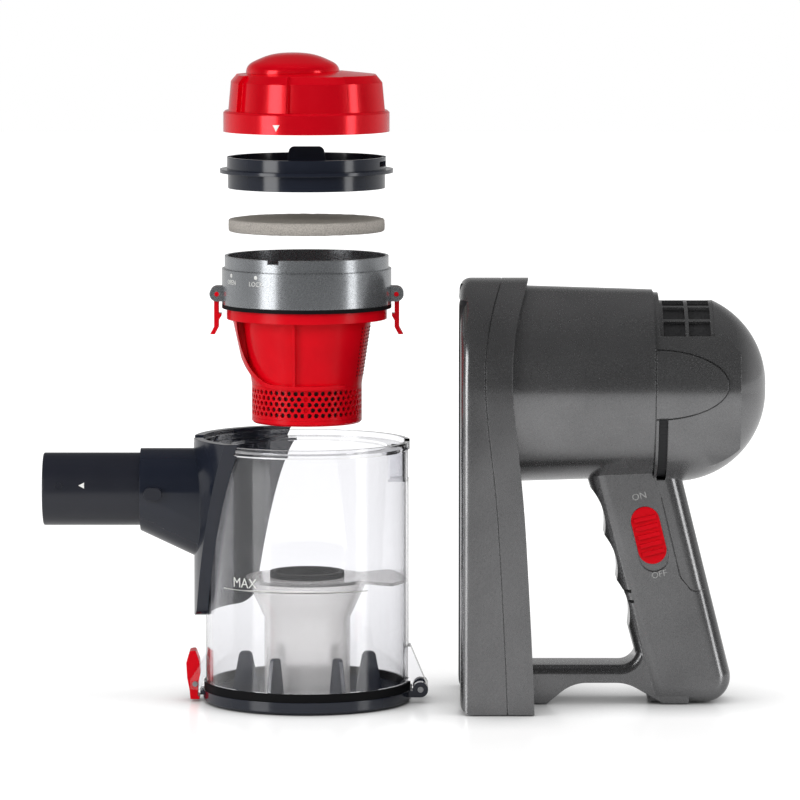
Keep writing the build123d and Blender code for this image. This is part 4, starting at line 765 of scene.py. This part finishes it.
# %% Table
table_front, table_back, table_half, table_drop = -1.5, 6.0, 6.0, 0.6 * MM
near_edge = [(-table_half, table_front), (table_half, table_front)]
far_edge = [(table_half, table_back), (-table_half, table_back)]
bm = bmesh.new()
bm.faces.new([bm.verts.new((x, y, 0.0)) for x, y in near_edge + far_edge])
table = in_scene("table", as_mesh(bm, "table"))
table.location.z = -table_drop
white, tree, shader, where = finish_named("white_table")
give(shader, {"Base Color": linear("#CFCFCF"), "Roughness": 0.2, "Emission Color": (1, 1, 1, 1)})
ray = add(tree, "ShaderNodeLightPath").outputs
in_gloss = add(tree, "ShaderNodeMath", {1: 0.4}, {0: ray["Is Glossy Ray"]}, operation="MULTIPLY")
straight = add(tree, "ShaderNodeMath", None, {0: ray["Is Camera Ray"], 1: ray["Is Transmission Ray"]},
               operation="MAXIMUM")
shown = add(tree, "ShaderNodeMath", None, {0: straight.outputs["Value"], 1: in_gloss.outputs["Value"]},
            operation="MAXIMUM")
# painted shadow: the glow drops near the set and where the set covers the table
away = add(tree, "ShaderNodeVectorMath", {1: (0.05, 0.0, 0.0)}, {0: where["Vector"]}, operation="DISTANCE")
far_glow = add(tree, "ShaderNodeMapRange", {"From Min": 0.15, "From Max": 0.6, "To Min": 0.6, "To Max": 0.9},
               {"Value": away.outputs["Value"]})
contact = add(tree, "ShaderNodeAmbientOcclusion", {"Distance": 0.05}, samples=8)
open_sky = add(tree, "ShaderNodeMath", {1: 1.6}, {0: contact.outputs["AO"]}, operation="POWER")
glow_with_painted_shadow = add(tree, "ShaderNodeMath", None, {0: far_glow.outputs["Result"], 1: open_sky.outputs["Value"]},
          operation="MULTIPLY")
glow = add(tree, "ShaderNodeMath", None, {0: shown.outputs["Value"], 1: glow_with_painted_shadow.outputs["Value"]},
           operation="MULTIPLY")
feed(tree, shader, {"Emission Strength": glow.outputs["Value"]})
table.data.materials.append(white)
print("table", round(table_back - table_front, 1), "m deep")

# %% [markdown]
# ## Room
# The room is white to the camera and through the clear cup, and lights the set only weakly. In mirror
# images it is darker: it fades towards the viewer's side and towards the ceiling, which gives the
# lacquer its dark side and the drum its dark top.

# %% Room
world = bpy.data.worlds.new("studio")
bpy.context.scene.world = world
world.use_nodes = True
tree = world.node_tree
tree.nodes.clear()
ray = add(tree, "ShaderNodeLightPath").outputs
way = add(tree, "ShaderNodeTexCoord")
axes = add(tree, "ShaderNodeSeparateXYZ", None, {"Vector": way.outputs["Generated"]})
depth = add(tree, "ShaderNodeMapRange", {"From Min": -0.1, "From Max": 0.5, "To Min": 0.05, "To Max": 0.5},
            {"Value": axes.outputs["Y"]})
ceiling = add(tree, "ShaderNodeMapRange", {"From Min": 0.05, "From Max": 0.5, "To Min": 1.0, "To Max": 0.2},
              {"Value": axes.outputs["Z"]})
mirrored_room = add(tree, "ShaderNodeMath", None,
                    {0: depth.outputs["Result"], 1: ceiling.outputs["Result"]}, operation="MULTIPLY")
paint = {"Color": (1, 1, 1, 1)}
dim = add(tree, "ShaderNodeBackground", paint | {"Strength": 0.45})
shaded = add(tree, "ShaderNodeBackground", paint, {"Strength": mirrored_room.outputs["Value"]})
white_wall = add(tree, "ShaderNodeBackground", paint | {"Strength": 1.0})
indirect = add(tree, "ShaderNodeMixShader", None,
               {"Fac": ray["Is Glossy Ray"], 1: dim.outputs["Background"], 2: shaded.outputs["Background"]})
straight = add(tree, "ShaderNodeMath", None, {0: ray["Is Camera Ray"], 1: ray["Is Transmission Ray"]},
               operation="MAXIMUM")
last = add(tree, "ShaderNodeMixShader", None,
           {"Fac": straight.outputs["Value"], 1: indirect.outputs["Shader"],
            2: white_wall.outputs["Background"]})
add(tree, "ShaderNodeOutputWorld", None, {"Surface": last.outputs["Shader"]})
print("room:", len(tree.nodes), "nodes")

# %% [markdown]
# ## Lamps
# Two tall softboxes at the sides draw the long highlights on lacquer and tray. The lamp above and the
# fill, which hangs in front of the set and over the line of sight, give light but no mirror image, as
# large diffusers far away would, so the top of the drum stays dark.

# %% Lamps
def softbox(name, place, aim, width, height, power, mirrored=True):
    """A rectangular lamp, in metres and watts, turned to its aim."""
    lamp = bpy.data.lights.new(name, "AREA")
    lamp.shape = "RECTANGLE"
    lamp.size, lamp.size_y = width, height
    lamp.energy = power
    holder = in_scene(name, lamp)
    holder.location = place
    holder.rotation_euler = (Vector(aim) - Vector(place)).to_track_quat("-Z", "Y").to_euler()
    holder.visible_glossy = mirrored


centre = (0.05, 0.0, 0.16)
softbox("left_softbox", (-0.95, -0.75, 0.45), centre, width=0.5, height=0.9, power=6.0)
softbox("right_softbox", (1.15, -0.55, 0.4), centre, width=0.3, height=0.9, power=3.0)
softbox("top_softbox", (0.05, -0.15, 1.2), centre, width=0.9, height=0.35, power=4.0, mirrored=False)
softbox("front_fill", (0.05, -1.9, 1.05), centre, width=1.2, height=0.6, power=7.0, mirrored=False)
print("lamps:", len(bpy.data.lights))

# %% [markdown]
# ## Camera
# A long lens from a little above, as product photographs are taken: it keeps the upright edges upright
# and shows just a sliver of each raised piece's top.

# %% Camera
scene = bpy.context.scene
scene.view_settings.view_transform = "Standard"
eye, aim = Vector((0.0512, -3.0, 0.47)), Vector((0.0512, 0.0, 0.1661))
sensor_mm, view_width = 36.0, 0.44
lens = bpy.data.cameras.new("camera")
lens.sensor_width = sensor_mm
lens.sensor_fit = "HORIZONTAL"
lens.lens = sensor_mm * (aim - eye).length / view_width
lens.clip_end = 50
camera = in_scene("camera", lens)
camera.location = eye
camera.rotation_euler = (aim - eye).to_track_quat("-Z", "Y").to_euler()
scene.camera = camera
print("lens", round(lens.lens, 1), "mm")
